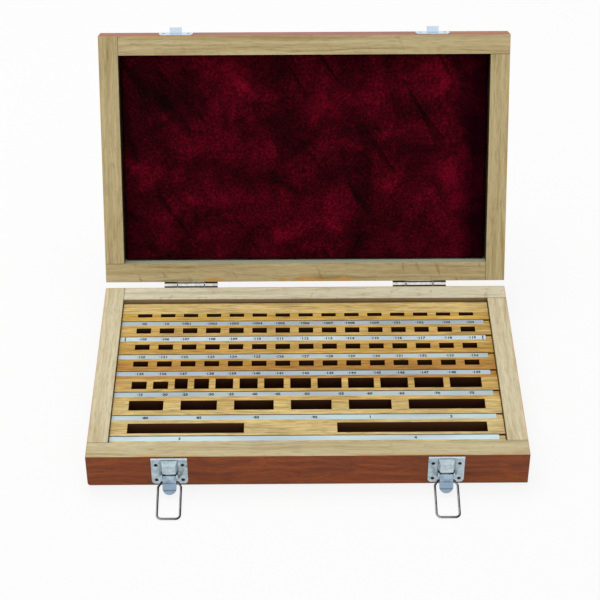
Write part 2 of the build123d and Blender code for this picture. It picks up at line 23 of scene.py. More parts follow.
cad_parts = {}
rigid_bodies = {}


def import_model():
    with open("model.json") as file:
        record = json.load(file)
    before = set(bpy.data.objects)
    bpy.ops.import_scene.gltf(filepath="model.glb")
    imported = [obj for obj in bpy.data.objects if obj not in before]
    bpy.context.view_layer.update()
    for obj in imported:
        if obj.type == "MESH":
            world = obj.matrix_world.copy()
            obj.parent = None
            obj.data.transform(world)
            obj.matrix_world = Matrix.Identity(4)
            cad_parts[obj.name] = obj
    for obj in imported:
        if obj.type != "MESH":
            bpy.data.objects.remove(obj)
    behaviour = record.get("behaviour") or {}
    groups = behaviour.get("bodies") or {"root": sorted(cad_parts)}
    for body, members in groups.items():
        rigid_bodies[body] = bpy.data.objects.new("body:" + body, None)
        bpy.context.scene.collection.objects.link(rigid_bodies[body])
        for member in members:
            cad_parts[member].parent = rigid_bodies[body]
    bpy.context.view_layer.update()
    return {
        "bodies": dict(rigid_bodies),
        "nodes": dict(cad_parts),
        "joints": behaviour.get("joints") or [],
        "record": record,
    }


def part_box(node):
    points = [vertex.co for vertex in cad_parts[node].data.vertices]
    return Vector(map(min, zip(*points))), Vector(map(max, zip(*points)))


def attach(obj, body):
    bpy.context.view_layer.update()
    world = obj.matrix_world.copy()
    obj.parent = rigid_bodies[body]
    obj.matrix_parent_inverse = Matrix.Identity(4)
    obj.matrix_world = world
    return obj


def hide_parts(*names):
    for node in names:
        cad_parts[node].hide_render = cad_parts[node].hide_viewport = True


log = logging.getLogger("gauge_block_case")
MM = 0.001
FAR_MM = 1000.0  # farther off than any point of the case


def hex_colour(code: str) -> tuple[float, float, float, float]:
    """Turn an sRGB hex colour into the linear colour that Blender's sockets hold.

    The sRGB curve is a straight line up to 0.04045 and a power of 2.4 above it.

    Args:
        code: Six hex digits, such as "D0C29F".

    Returns:
        Red, green, blue and an alpha of 1.
    """
    parts = np.array([int(code[i:i + 2], 16) for i in (0, 2, 4)]) / 255.0
    linear = np.where(parts <= 0.04045, parts / 12.92, ((parts + 0.055) / 1.055) ** 2.4)
    return (*(float(v) for v in linear), 1.0)


def metres(lengths_mm: tuple[float, ...]) -> tuple[float, ...]:
    """Turn lengths from millimetres to metres."""
    return tuple(length * MM for length in lengths_mm)


def scale_of(size_mm: float) -> float:
    """The scale of a noise whose patches are this many millimetres across."""
    return 1 / (size_mm * MM)


def scales_of(*sizes_mm: float) -> tuple[float, ...]:
    """The scales of a pattern whose patches have these sizes along X, Y and Z."""
    return tuple(scale_of(size) for size in sizes_mm)


def add_node(tree: NodeTree, kind: str, inputs: dict | None = None, output: int | str = 0,
             stops: list[tuple[float, str]] | None = None, **settings: object) -> NodeSocket | None:
    """Add one node with its settings, and fill or link its sockets.

    Args:
        tree: The node tree that gets the node.
        kind: Blender's name of the node type, without the part that all shader nodes share.
        inputs: Values or other nodes' outputs, by the socket's name or number.
        output: Name or number of the output that is wanted.
        stops: Position and hex colour of each stop, where the node is a colour ramp.
        settings: The node's own properties.

    Returns:
        The wanted output of the new node, if it has any.
    """
    node = tree.nodes.new("ShaderNode" + kind)
    for name, value in settings.items():
        setattr(node, name, value)
    if stops:
        elements = node.color_ramp.elements
        while len(elements) < len(stops):
            elements.new(0.5)
        for element, (position, code) in zip(elements, stops):
            element.position = position
            element.color = hex_colour(code)
    for socket, value in (inputs or {}).items():
        target = node.inputs[socket]
        if isinstance(value, NodeSocket):
            tree.links.new(value, target)
        else:
            target.default_value = value
    return node.outputs[output] if len(node.outputs) else None


def distance(tree: NodeTree, value: NodeSocket, place: float = 0.0) -> NodeSocket:
    """How far a coordinate lies from a place, on either side of it, in metres."""
    past = add_node(tree, "Math", {0: value, 1: place}, operation="SUBTRACT")
    return add_node(tree, "Math", {0: past}, operation="ABSOLUTE")


@dataclass(frozen=True)
class Mark:
    """A colour over a finish: it fades in as a value goes from start to end, up to its strength."""
    value: NodeSocket
    start: float
    end: float
    strength: float | NodeSocket
    colour: str


def lay_marks(tree: NodeTree, colour: NodeSocket | tuple[float, ...], marks: list[Mark]) -> NodeSocket:
    """Lay marks over a colour one after the other.

    Args:
        tree: The node tree that gets the nodes.
        colour: The colour below.
        marks: The marks, from the lowest up.

    Returns:
        The colour with all its marks.
    """
    for mark in marks:
        mask = add_node(tree, "MapRange", {"Value": mark.value, "From Min": mark.start, "From Max": mark.end,
                                           "To Max": mark.strength})
        colour = add_node(tree, "Mix", {0: mask, 6: colour, 7: hex_colour(mark.colour)}, 2, data_type="RGBA")
    return colour


def new_material(name: str, shader: dict) -> tuple[Material, Node]:
    """Make a material with a Principled shader linked to its output.

    Args:
        name: The material's name.
        shader: Values of the shader's sockets.

    Returns:
        The material and its shader node.
    """
    material = bpy.data.materials.new(name)
    material.use_nodes = True
    material.node_tree.nodes.clear()
    surface = add_node(material.node_tree, "BsdfPrincipled", shader)
    add_node(material.node_tree, "OutputMaterial", {"Surface": surface})
    return material, surface.node


def connect(shader: Node, outputs: dict[str, NodeSocket]) -> None:
    """Link outputs to a shader's sockets, by the names of the sockets."""
    for name, value in outputs.items():
        shader.id_data.links.new(value, shader.inputs[name])


def set_material(target: Object, material: Material) -> None:
    """Put one material in place of all that an object has."""
    target.data.materials.clear()
    target.data.materials.append(material)


def mesh_object(name: str, points: np.ndarray, faces: np.ndarray | list, smooth: bool = True) -> Object:
    """Put arrays of points and faces into a new mesh object at the origin.

    Args:
        name: Name of the object and its mesh.
        points: One row of x, y, z for each vertex, in metres.
        faces: Vertex numbers of each face.
        smooth: Whether the faces are shaded smooth.

    Returns:
        The new object, linked to the scene.
    """
    mesh = bpy.data.meshes.new(name)
    mesh.from_pydata(np.asarray(points).tolist(), [], [list(face) for face in faces])
    mesh.polygons.foreach_set("use_smooth", np.full(len(mesh.polygons), smooth))
    mesh.update()
    made = bpy.data.objects.new(name, mesh)
    bpy.context.scene.collection.objects.link(made)
    return made


def grid_faces(rows: int, columns: int, closed: bool = False) -> np.ndarray:
    """Number the quads of a grid of points, row by row.

    Args:
        rows: Points along the first parameter.
        columns: Points along the second parameter.
        closed: Whether the last column joins the first, as round a tube.

    Returns:
        One row of four vertex numbers for each quad.
    """
    i, j = np.meshgrid(np.arange(rows - 1), np.arange(columns if closed else columns - 1), indexing="ij")
    following = (j + 1) % columns
    quads = (i * columns + j, i * columns + following, (i + 1) * columns + following, (i + 1) * columns + j)
    return np.stack(quads, -1).reshape(-1, 4)


def weld(target: Object) -> None:
    """Merge a mesh's coincident vertices and turn its faces outwards.

    Args:
        target: The mesh object.
    """
    work = bmesh.new()
    work.from_mesh(target.data)
    bmesh.ops.remove_doubles(work, verts=work.verts, dist=0.001 * MM)
    bmesh.ops.recalc_face_normals(work, faces=work.faces)
    work.to_mesh(target.data)
    work.free()
    target.data.update()


class Side(Enum):
    """Which half of the case a piece belongs to."""
    BASE = "base"
    LID = "lid"


class Grain(Enum):
    """The direction that the grain of a board runs in."""
    ALONG_X = (1, 0, 0)
    ALONG_Y = (0, 1, 0)

    @property
    def axis(self) -> int:
        """Number of the axis that the grain follows."""
        return self.value.index(1)

    def stretch(self, along_mm: float, across_mm: float) -> tuple[float, ...]:
        """Scale of a pattern that is long along the grain and narrow across it."""
        return scales_of(*(along_mm if axis else across_mm for axis in self.value))


@dataclass(frozen=True)
class CaseSizes:
    """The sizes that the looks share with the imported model, in millimetres and degrees."""
    half_width: float = 150.0
    half_depth: float = 92.5
    wall: float = 14.0
    rim: float = 28.0
    lid_rim: float = 28.3
    roof: float = 50.3
    tray_top: float = 24.0
    latch_x: float = 93.7
    hinge_x: float = 86.0
    hinge_y: float = 95.1
    hinge_z: float = 28.15
    open_angle: float = 112.6

    def lid_matrix(self) -> Matrix:
        """Work out the turn about the hinge line that opens the shut lid.

        Returns:
            The turn, in metres.
        """
        hinge = Vector((0.0, self.hinge_y * MM, self.hinge_z * MM))
        turn = Matrix.Rotation(-math.radians(self.open_angle), 4, "X")
        return Matrix.Translation(hinge) @ turn @ Matrix.Translation(-hinge)

    def open_out(self, points: np.ndarray) -> np.ndarray:
        """Carry points of the shut lid, in metres, to where the open lid holds them."""
        turn = np.array(self.lid_matrix())
        return points @ turn[:3, :3].T + turn[:3, 3]

    def shut_extent(self, node: Object, side: Side, axis: int) -> tuple[float, float]:
        """Measure how far a node reaches along an axis while the case is shut.

        Args:
            node: A CAD node.
            side: The half of the case that it belongs to.
            axis: Number of the axis.

        Returns:
            Its lowest and highest place, in metres.
        """
        flat = np.empty(len(node.data.vertices) * 3)
        node.data.vertices.foreach_get("co", flat)
        points = flat.reshape(-1, 3)
        if side is Side.LID:
            turn = np.array(self.lid_matrix().inverted())
            points = points @ turn[:3, :3].T + turn[:3, 3]
        return float(points[:, axis].min()), float(points[:, axis].max())


SIZES = CaseSizes()


def shut_coordinates(tree: NodeTree, side: Side) -> NodeSocket:
    """Object coordinates as they are with the case shut, so that both halves are dressed alike.

    Args:
        tree: The node tree that gets the nodes.
        side: The half of the case that the piece belongs to.

    Returns:
        The vector output.
    """
    place = add_node(tree, "TexCoord", output="Object")
    if side is Side.BASE:
        return place
    back = SIZES.lid_matrix().inverted()
    return add_node(tree, "Mapping", {"Vector": place, "Location": back.to_translation(),
                                      "Rotation": back.to_euler()})


@dataclass(frozen=True)
class Oak:
    """Oak, planed and sanded: straight streaks along the grain, with short dark pores.

    The streaks are growth rings cut lengthwise, 1 to 3 mm wide, that wander a few millimetres from
    the straight. The pores are drawn 0.45 mm wide, about twice the real width, because finer ones
    don't show at this distance.
    """
    light: str
    middle: str
    dark: str
    ring_mm: float = 2.0
    ring_length_mm: float = 60.0
    pore_mm: float = 0.45
    pore_length_mm: float = 6.0
    pore_depth: float = 0.22
    roughness: float = 0.62
    bump: float = 0.14
    bump_mm: float = 0.3
    wave: float = 0.6
    wander_mm: float = 4.0
    wander_length_mm: float = 45.45

    @classmethod
    def around(cls, middle: str, **finish: float) -> Oak:
        """Make oak with a lighter and a darker tone from a middle one.

        Args:
            middle: Hex colour of the middle tone.
            finish: The other fields.

        Returns:
            The oak.
        """
        light, dark = ("".join(f"{min(255, round(int(middle[i:i + 2], 16) * factor)):02X}" for i in (0, 2, 4))
                       for factor in (1.12, 0.8))
        return cls(light, middle, dark, **finish)

    def figure(self, tree: NodeTree, place: NodeSocket, grain: Grain,
               seed: float) -> tuple[NodeSocket, NodeSocket]:
        """Draw the wood's figure: noise stretched along the grain, coloured by a ramp.

        Args:
            tree: The node tree that gets the nodes.
            place: Coordinates in metres.
            grain: The direction of the grain.
            seed: Shifts the figure, so that no two boards are alike.

        Returns:
            The colour and a height for the bump.
        """
        add = partial(add_node, tree)
        wander = add("TexNoise", {"Vector": place, "Scale": scale_of(self.wander_length_mm), "Detail": 1.0},
                     "Color")
        place = add("VectorMath", {0: wander, 1: (self.wander_mm * MM,) * 3, 2: place},
                    operation="MULTIPLY_ADD")
        ring_place = add("Mapping", {"Vector": place, "Location": (seed, seed * 1.7, seed * 0.6),
                                     "Scale": grain.stretch(self.ring_length_mm, self.ring_mm)})
        rings = add("TexNoise", {"Vector": ring_place, "Scale": 0.5, "Detail": 4.0, "Roughness": 0.6,
                                 "Distortion": self.wave})
        tone = add("ValToRGB", {"Fac": rings},
                   stops=[(0.32, self.dark), (0.48, self.middle), (0.64, self.light)])
        pore_place = add("Mapping", {"Vector": place, "Location": (seed * 3, seed, seed * 2),
                                     "Scale": grain.stretch(self.pore_length_mm, self.pore_mm)})
        pores = add("TexNoise", {"Vector": pore_place, "Scale": 0.6, "Detail": 2.0, "Roughness": 0.6})
        shade = add("MapRange", {"Value": pores, "From Min": 0.5, "From Max": 0.68, "To Min": 1.0,
                                 "To Max": 1.0 - self.pore_depth})
        grey = add("CombineColor", {0: shade, 1: shade, 2: shade})
        return add("Mix", {0: 1.0, 6: tone, 7: grey}, 2, data_type="RGBA", blend_type="MULTIPLY"), pores

    def relief(self, tree: NodeTree, height: NodeSocket) -> NodeSocket:
        """The normals that the pores give the planed surface."""
        return add_node(tree, "Bump", {"Strength": self.bump, "Distance": self.bump_mm * MM,
                                       "Height": height})


# Bare oak is sanded, pale and matt: palest on the base's back rail, yellowed by hands on its front
# one and warmer in the lid, where a darker copy stands for painted shade. Outside, a reddish brown
# stain under varnish gives it a satin gloss.
BARE_OAK = Oak(light="DDD3B2", middle="D3C5A1", dark="BCA97F")
PALE_OAK = Oak(light="E4DDC4", middle="DAD2B5", dark="C3B690")
YELLOWED_OAK = Oak(light="CFC39C", middle="C5B68D", dark="AD996E")
# A darker copy of bare oak for the lid: painted shade.
SHADED_OAK = Oak(light="DAC897", middle="CDB888", dark="AF9966", pore_depth=0.24)
STAINED_OAK = Oak(light="9E4C0E", middle="8D3F09", dark="752F06", ring_mm=2.2, ring_length_mm=80.0,
                  pore_mm=0.6, pore_depth=0.34, roughness=0.42, wave=0.8, wander_mm=16.0)


@dataclass(frozen=True)
class Member:
    """One rail, stile or board: its node, its grain, and how much stain and glue got on its rim.

    Its inner face gets painted shade in a tone of its own, stronger further below the rim, and
    stain crept over its rim only within a span of X.
    """
    node: str
    grain: Grain
    bare: Oak
    crept_mm: float = 0.5
    flecks: float = 0.2
    # Colour of the painted shade on the inner face
    inner: str = "66481A"
    crept_span_mm: tuple[float, float] = (-FAR_MM, FAR_MM)


@dataclass(frozen=True)
class WoodenFrame:
    """The members of the base or the lid, stained outside and bare inside.

    The stain was wiped on with the case shut, so it stops at the rim. It has crept a little way
    over the rim's edge, where it shows orange, and it sank in darker in patches. Shade is painted
    darker towards the foot, and on the inner faces further below the rim.
    """
    side: Side
    rim_mm: float
    members: tuple[Member, ...]
    crept: str = "CC8B45"
    # Dark stain of the patches, also used as painted shade towards the foot
    soaked_and_foot_shade: str = "602706"
    glue: str = "A87437"
    joint: str = "4C3B27"
    soaked_patch_mm: float = 62.5
    # Band below the rim over which shade is painted darker towards the foot
    foot_shade_mm: tuple[float, float] = (24.5, 28.0)
    fleck_mm: tuple[float, float, float] = (14.0, 5.5, 14.0)
    fleck_turn: float = 1.2
    ragged_patch_mm: float = 22.22
    crept_band_mm: tuple[float, float] = (-0.9, 0.5)
    crept_fade_mm: float = 12.0
    joint_line_mm: tuple[float, float] = (0.6, 0.2)
    shadow_mm: float = 4.5

    def glue_flecks(self, tree: NodeTree, place: NodeSocket, member: Member, seed: float) -> Mark:
        """Fleck a member's rim with glue: short dashes that slant across the grain.

        Args:
            tree: The node tree that gets the nodes.
            place: Coordinates with the case shut.
            member: The member.
            seed: Shifts the dashes.

        Returns:
            The mark.
        """
        turn = self.fleck_turn + member.grain.axis * math.pi / 2
        dashes = add_node(tree, "Mapping", {"Vector": place, "Location": (seed, 0, 0),
                                            "Rotation": (0, 0, turn), "Scale": metres(self.fleck_mm)},
                          vector_type="TEXTURE")
        noise = add_node(tree, "TexNoise", {"Vector": dashes, "Scale": 1.0, "Detail": 2.0, "Distortion": 0.3})
        return Mark(noise, 0.62, 0.74, member.flecks, self.glue)

    def crept_stain(self, tree: NodeTree, place: NodeSocket, past: NodeSocket, member: Member) -> Mark:
        """Let stain creep over the rim's outer edge: a ragged band, within the member's span.

        Args:
            tree: The node tree that gets the nodes.
            place: Coordinates with the case shut.
            past: How far a point lies past the inner face of the wall.
            member: The member.

        Returns:
            The mark.
        """
        add = partial(add_node, tree)
        first, last = member.crept_span_mm
        half = (last - first) / 2
        off = distance(tree, add("SeparateXYZ", {0: place}), (first + last) / 2 * MM)
        clean = add("MapRange", {"Value": off, "From Min": (half - self.crept_fade_mm) * MM,
                                 "From Max": half * MM, "To Max": 2 * member.crept_mm * MM})
        cloud = add("TexNoise", {"Vector": place, "Scale": scale_of(self.ragged_patch_mm), "Detail": 3.0})
        reach = add("MapRange", {"Value": cloud, "From Min": 0.35, "From Max": 0.65,
                                 "To Min": -member.crept_mm * MM, "To Max": member.crept_mm * MM})
        reach = add("Math", {0: reach, 1: clean}, operation="SUBTRACT")
        reach = add("Math", {0: past, 1: reach}, operation="ADD")
        start, end = self.crept_band_mm
        return Mark(reach, *metres((SIZES.wall + start, SIZES.wall + end)), 0.75, self.crept)

    def joint_lines(self, tree: NodeTree, place: NodeSocket, member: Member, node: Object) -> Mark:
        """Draw the dark glue lines where a member's ends meet its neighbours.

        An end on the outside of the case has no line, so it is taken to be far off.

        Args:
            tree: The node tree that gets the nodes.
            place: Coordinates with the case shut.
            member: The member.
            node: Its CAD node.

        Returns:
            The mark.
        """
        axis = member.grain.axis
        outer = ((SIZES.half_width, SIZES.half_depth)[axis] - 1) * MM
        low, high = SIZES.shut_extent(node, self.side, axis)
        low -= FAR_MM * MM if abs(low) > outer else 0.0
        high += FAR_MM * MM if abs(high) > outer else 0.0
        off = distance(tree, add_node(tree, "SeparateXYZ", {0: place}, axis), (low + high) / 2)
        start, end = ((high - low) / 2 - width * MM for width in self.joint_line_mm)
        return Mark(off, start, end, 0.85, self.joint)

    def finish(self, member: Member, node: Object, seed: float) -> Material:
        """The finish of one member: stained on the outside of the case and bare elsewhere.

        What is bare or stained follows from how far a point lies past the inner face of the wall,
        and from how far it is off the rim and off the case's flat face.

        Args:
            member: The member.
            node: Its CAD node.
            seed: Shifts its figure.

        Returns:
            The material.
        """
        material, shader = new_material(f"oak_{member.node}", {"Specular IOR Level": 0.3})
        tree = material.node_tree
        add = partial(add_node, tree)
        place = shut_coordinates(tree, self.side)
        split = add("SeparateXYZ", {0: place}).node.outputs
        insides = metres((SIZES.half_width - SIZES.wall, SIZES.half_depth - SIZES.wall))
        past_x, past_y = (add("Math", {0: distance(tree, split[axis]), 1: inside}, operation="SUBTRACT")
                          for axis, inside in enumerate(insides))
        past = add("Math", {0: past_x, 1: past_y}, operation="MAXIMUM")
        off_rim = distance(tree, split[2], self.rim_mm * MM)
        away = add("MapRange", {"Value": off_rim, "From Min": 0.1 * MM, "From Max": 0.4 * MM})
        # Painted shade on the inner faces: stronger further below the rim, down to shadow_mm.
        shade_by_depth = add("MapRange", {"Value": off_rim, "From Max": self.shadow_mm * MM, "To Min": 0.55,
                                "To Max": 0.95})
        shade_by_depth = add("Math", {0: shade_by_depth, 1: away}, operation="MULTIPLY")
        bare, bare_height = member.bare.figure(tree, place, member.grain, seed)
        bare = lay_marks(tree, bare, [self.glue_flecks(tree, place, member, seed),
                                      self.crept_stain(tree, place, past, member),
                                      self.joint_lines(tree, place, member, node),
                                      Mark(past, 0.3 * MM, 0.05 * MM, shade_by_depth, member.inner)])
        stain, stain_height = STAINED_OAK.figure(tree, place, member.grain, seed + 3.3)
        patches = add("TexNoise", {"Vector": place, "Scale": scale_of(self.soaked_patch_mm), "Detail": 3.0})
        # Dark patches where the stain sank in, and painted shade towards the foot.
        stain = lay_marks(tree, stain, [Mark(patches, 0.5, 0.7, 0.45, self.soaked_and_foot_shade),
                                        Mark(off_rim, *metres(self.foot_shade_mm), 0.7, self.soaked_and_foot_shade)])
        start, end = metres((SIZES.wall - 1.5, SIZES.wall - 1.4))
        outside = add("MapRange", {"Value": past, "From Min": start, "From Max": end})
        outside = add("Math", {0: outside, 1: away}, operation="MULTIPLY")
        off_face = distance(tree, split[2], 0.0 if self.side is Side.BASE else SIZES.roof * MM)
        face = add("MapRange", {"Value": off_face, "From Min": 0.4 * MM, "From Max": 0.3 * MM})
        stained = add("Math", {0: outside, 1: face}, operation="MAXIMUM")
        height = add("Mix", {0: stained, 2: bare_height, 3: stain_height})
        connect(shader, {
            "Base Color": add("Mix", {0: stained, 6: bare, 7: stain}, 2, data_type="RGBA"),
            "Roughness": add("MapRange", {"Value": stained, "To Min": member.bare.roughness,
                                          "To Max": STAINED_OAK.roughness}),
            "Normal": member.bare.relief(tree, height)})
        return material

    def dress(self, nodes: dict[str, Object]) -> None:
        """Give every member of this frame its finish.

        Args:
            nodes: The CAD nodes by name.
        """
        for number, member in enumerate(self.members):
            node = nodes[member.node]
            set_material(node, self.finish(member, node, 1.0 + 2.7 * number + self.rim_mm / 7))
            log.info("dressed %s", member.node)


BASE_FRAME = WoodenFrame(Side.BASE, SIZES.rim, (
    Member("base_front_rail", Grain.ALONG_X, YELLOWED_OAK, 0.8),
    Member("base_back_rail", Grain.ALONG_X, PALE_OAK, 0.3, 0.4),
    Member("base_left_stile", Grain.ALONG_Y, BARE_OAK, 0.2, 0.1),
    Member("base_right_stile", Grain.ALONG_Y, BARE_OAK, 0.2, 0.1),
    Member("base_bottom_panel", Grain.ALONG_X, BARE_OAK)))
LID_FRAME = WoodenFrame(Side.LID, SIZES.lid_rim, (
    Member("lid_back_rail", Grain.ALONG_X, SHADED_OAK, 5.0, 0.7, "AEB49C", (-90.0, 62.0)),
    Member("lid_front_rail", Grain.ALONG_X, SHADED_OAK, 0.2),
    # The stiles' inner faces get a near black painted shade.
    Member("lid_left_stile", Grain.ALONG_Y, SHADED_OAK, 0.0, 0.1, "24140F"),
    Member("lid_right_stile", Grain.ALONG_Y, SHADED_OAK, 0.1, 0.1, "24140F"),
    Member("lid_top_panel", Grain.ALONG_X, SHADED_OAK),
    Member("lid_lining_board", Grain.ALONG_X, SHADED_OAK)), crept="DFA452")


def decimals(first: int, last: int, step: int, places: int) -> tuple[str, ...]:
    """Sizes in inches with a raised point and no leading nought, such as one twentieth as 05."""
    return tuple(f"·{n:0{places}d}" for n in range(first, last + 1, step))


@dataclass(frozen=True)
class SlotRow:
    """One row of the tray: its sizes, where they are printed, and the tones of strip, wood and ink."""
    labels_mm: tuple[float, ...]
    strip_y_mm: float
    labels: tuple[str, ...]
    strip: str
    wood: str
    ink: str = "10161E"


SMALL_SLOTS_MM = (-119.2, -103.0, -88.3, -69.2, -53.2, -36.0, -19.2, -1.1, 16.3, 32.2, 50.2, 67.0, 84.0,
                  103.6, 121.2)
ROWS = (
    SlotRow(SMALL_SLOTS_MM, 54.65,
            decimals(5, 10, 5, 2) + decimals(1001, 1009, 1, 4) + decimals(101, 104, 1, 3),
            "C8D6E0", "D7B05B", "333C48"),
    SlotRow(SMALL_SLOTS_MM, 36.85, decimals(105, 119, 1, 3), "E4F8FF", "D5B26E", "1E252E"),
    SlotRow(SMALL_SLOTS_MM, 16.65, decimals(120, 134, 1, 3), "D0DFE1", "D0A85B", "3C4652"),
    SlotRow(SMALL_SLOTS_MM, -1.95, decimals(135, 149, 1, 3), "C2D4DE", "BF8F49", "262D36"),
    SlotRow((-117.6, -100.2, -85.9, -67.7, -53.5, -37.0, -20.8, -0.2, 24.0, 44.0, 66.7, 91.7, 115.9), -24.35,
            decimals(15, 75, 5, 2), "C8D8DA", "D9B670"),
    SlotRow((-112.5, -75.4, -35.6, 5.0, 43.7, 100.0), -48.85, decimals(80, 95, 5, 2) + ("1", "2"),
            "D0E5E9", "DEC588"),
    SlotRow((-87.6, 74.0), -70.15, ("3", "4"), "D9EFF4", "E0C991", "2A323C"),
)


@dataclass(frozen=True)
class SlottedTray:
    """The tray: long battens and short blocks glued together, with strips let into the battens."""
    rear_batten: str = "DDC282"
    worn: tuple[str, str, str] = ("E4DBC9", "F6F3EB", "FFFFFF")
    seam: str = "6B4A26"
    seam_mm: float = 0.3
    # Slot walls from deep down to the top: dark stain with painted shade, and a lighter copy as painted light
    # behind the long slots
    stained_shaded_walls: tuple[str, str, str] = ("341C10", "48291A", "55321D")
    lit_walls: tuple[str, str, str] = ("5E3A24", "653E26", "724A30")
    lit_batten: int = 7
    wall_shade_depth_mm: float = 14.0
    handled_metal: str = "94A2AE"
    digit_mm: float = 3.5
    digit_weight_mm: float = 0.14
    print_lift_mm: float = 0.03
    bars_x_mm: tuple[float, float] = (-132.0, 129.2)
    half_bar_mm: tuple[float, float] = (0.4, 2.2)

    def wood(self, node: str, tone: str, seed: float, lit: bool = False) -> Material:
        """Golden oak on top with a dark glue line along both long edges, and dark walls down in the slots.

        The tops were rubbed lighter and darker in patches. The walls of the slots were stained
        dark, and painted shade darkens an upright face with its depth.

        Args:
            node: The batten or blocks that the finish is for.
            tone: Middle tone of this piece.
            seed: Shifts its figure.
            lit: Its wall is the one behind the long slots, which gets a lighter copy as painted light.

        Returns:
            The material.
        """
        oak = Oak.around(tone, ring_mm=0.8, ring_length_mm=14.0, pore_mm=0.35, pore_depth=0.36, bump=0.18,
                         wave=1.0)
        material, shader = new_material(f"tray_oak_{node}", {"Roughness": 0.55, "Specular IOR Level": 0.3})
        tree = material.node_tree
        add = partial(add_node, tree)
        place = add("TexCoord", output="Object")
        split = add("SeparateXYZ", {0: place}).node.outputs
        top, height = oak.figure(tree, place, Grain.ALONG_X, seed)
        patch_place = add("Mapping", {"Vector": place, "Location": (seed, seed, 0.0),
                                      "Scale": scales_of(35.71, 11.11, 16.67)})
        patches = add("TexNoise", {"Vector": patch_place, "Scale": 1.0, "Detail": 3.0})
        worn = add("ValToRGB", {"Fac": patches}, stops=list(zip((0.3, 0.5, 0.72), self.worn)))
        top = add("Mix", {0: 1.0, 6: top, 7: worn}, 2, data_type="RGBA", blend_type="MULTIPLY")
        low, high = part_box(node)
        half = (high.y - low.y) / 2
        off = distance(tree, split[1], (low.y + high.y) / 2)
        top = lay_marks(tree, top, [Mark(off, half - self.seam_mm * MM, half, 0.35, self.seam)])
        # Painted shade on the slots' walls, darker further down; the walls behind the long slots get painted
        # light.
        depth = add("MapRange", {"Value": split[2], "From Min": (SIZES.tray_top - self.wall_shade_depth_mm) * MM,
                                 "From Max": SIZES.tray_top * MM})
        wall = add("ValToRGB", {"Fac": depth},
                   stops=list(zip((0.0, 0.75, 1.0), self.lit_walls if lit else self.stained_shaded_walls)))
        facing = add("SeparateXYZ", {0: add("TexCoord", output="Normal")}, 2)
        upward = add("MapRange", {"Value": facing, "From Min": 0.4, "From Max": 0.6})
        connect(shader, {"Base Color": add("Mix", {0: upward, 6: wall, 7: top}, 2, data_type="RGBA"),
                         "Normal": oak.relief(tree, height)})
        return material

    def strip_metal(self, number: int, tone: str) -> Material:
        """Anodised aluminium strip: matt and pale, with a faint brushing along X and handling marks.

        The brushing is drawn in lines 0.4 mm apart, coarser than the real one, so that it shows.

        Args:
            number: The row's number, from the back.
            tone: Hex colour of this strip.

        Returns:
            The material.
        """
        material, shader = new_material(f"anodised_aluminium_{number}", {"Metallic": 0.3})
        tree = material.node_tree
        add = partial(add_node, tree)
        place = add("TexCoord", output="Object")
        cloud_place = add("Mapping", {"Vector": place, "Location": (number * 1.3, 0, 0),
                                      "Scale": scales_of(55.56, 16.67, 25.0)})
        cloud = add("TexNoise", {"Vector": cloud_place, "Scale": 1.0, "Detail": 3.0})
        brush_place = add("Mapping", {"Vector": place, "Scale": scales_of(33.33, 0.4, 1000.0)})
        brushed = add("TexNoise", {"Vector": brush_place, "Scale": 1.0, "Detail": 1.0})
        marks = [Mark(cloud, 0.42, 0.68, 0.4, self.handled_metal)]
        connect(shader, {"Base Color": lay_marks(tree, hex_colour(tone), marks),
                         "Roughness": add("MapRange", {"Value": brushed, "To Min": 0.42, "To Max": 0.6})})
        return material

    def floor_board(self) -> Material:
        """Hardboard under the slots: pressed fibre about 1 mm long, dark brown and flecked.

        Returns:
            The material.
        """
        material, shader = new_material("hardboard", {"Roughness": 0.8})
        add = partial(add_node, material.node_tree)
        fibre = add("TexNoise", {"Vector": add("TexCoord", output="Object"), "Scale": scale_of(1.111),
                                 "Detail": 3.0})
        colour = add("ValToRGB", {"Fac": fibre}, stops=[(0.35, "1E120B"), (0.7, "3B2416")])
        connect(shader, {"Base Color": colour})
        return material

    def ink(self, number: int) -> Material:
        """Matt black printing ink, rubbed thin to grey on some of the strips."""
        return new_material(f"printing_ink_{number}", {"Base Color": hex_colour(ROWS[number - 1].ink),
                                                       "Roughness": 0.7})[0]

    def written(self, label: str) -> tuple[np.ndarray, np.ndarray]:
        """Turn one size into flat triangles.

        Args:
            label: The size as it is printed.

        Returns:
            Its points, centred on the origin in metres, and the corners of its triangles.
        """
        curve = bpy.data.curves.new("digits", "FONT")
        curve.body, curve.size, curve.offset = label, self.digit_mm * MM, self.digit_weight_mm * MM
        curve.align_x, curve.align_y, curve.resolution_u = "CENTER", "CENTER", 2
        writer = bpy.data.objects.new("digits", curve)
        bpy.context.scene.collection.objects.link(writer)
        bpy.context.view_layer.update()
        drawn = bpy.data.meshes.new_from_object(writer.evaluated_get(bpy.context.evaluated_depsgraph_get()))
        points = np.zeros(len(drawn.vertices) * 3)
        drawn.vertices.foreach_get("co", points)
        corners = np.zeros(len(drawn.loops), np.int32)
        drawn.loops.foreach_get("vertex_index", corners)
        bpy.data.curves.remove(curve)
        bpy.data.meshes.remove(drawn)
        return points.reshape(-1, 3), corners.reshape(-1, 3)

    def sizes(self, number: int, row: SlotRow) -> Object:
        """Print one row's sizes on its strip, in the middle of the strip's width.

        Args:
            number: The row's number, from the back.
            row: The row.

        Returns:
            One flat mesh of all the row's digits.
        """
        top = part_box(f"size_strip_{number}")[1].z + self.print_lift_mm * MM
        points, faces, count = [], [], 0
        for label, x in zip(row.labels, row.labels_mm):
            drawn, corners = self.written(label)
            points.append(drawn + (x * MM, row.strip_y_mm * MM, top))
            faces.append(corners + count)
            count += len(drawn)
        made = mesh_object(f"sizes_row_{number}", np.concatenate(points), np.concatenate(faces), False)
        set_material(made, self.ink(number))
        return made

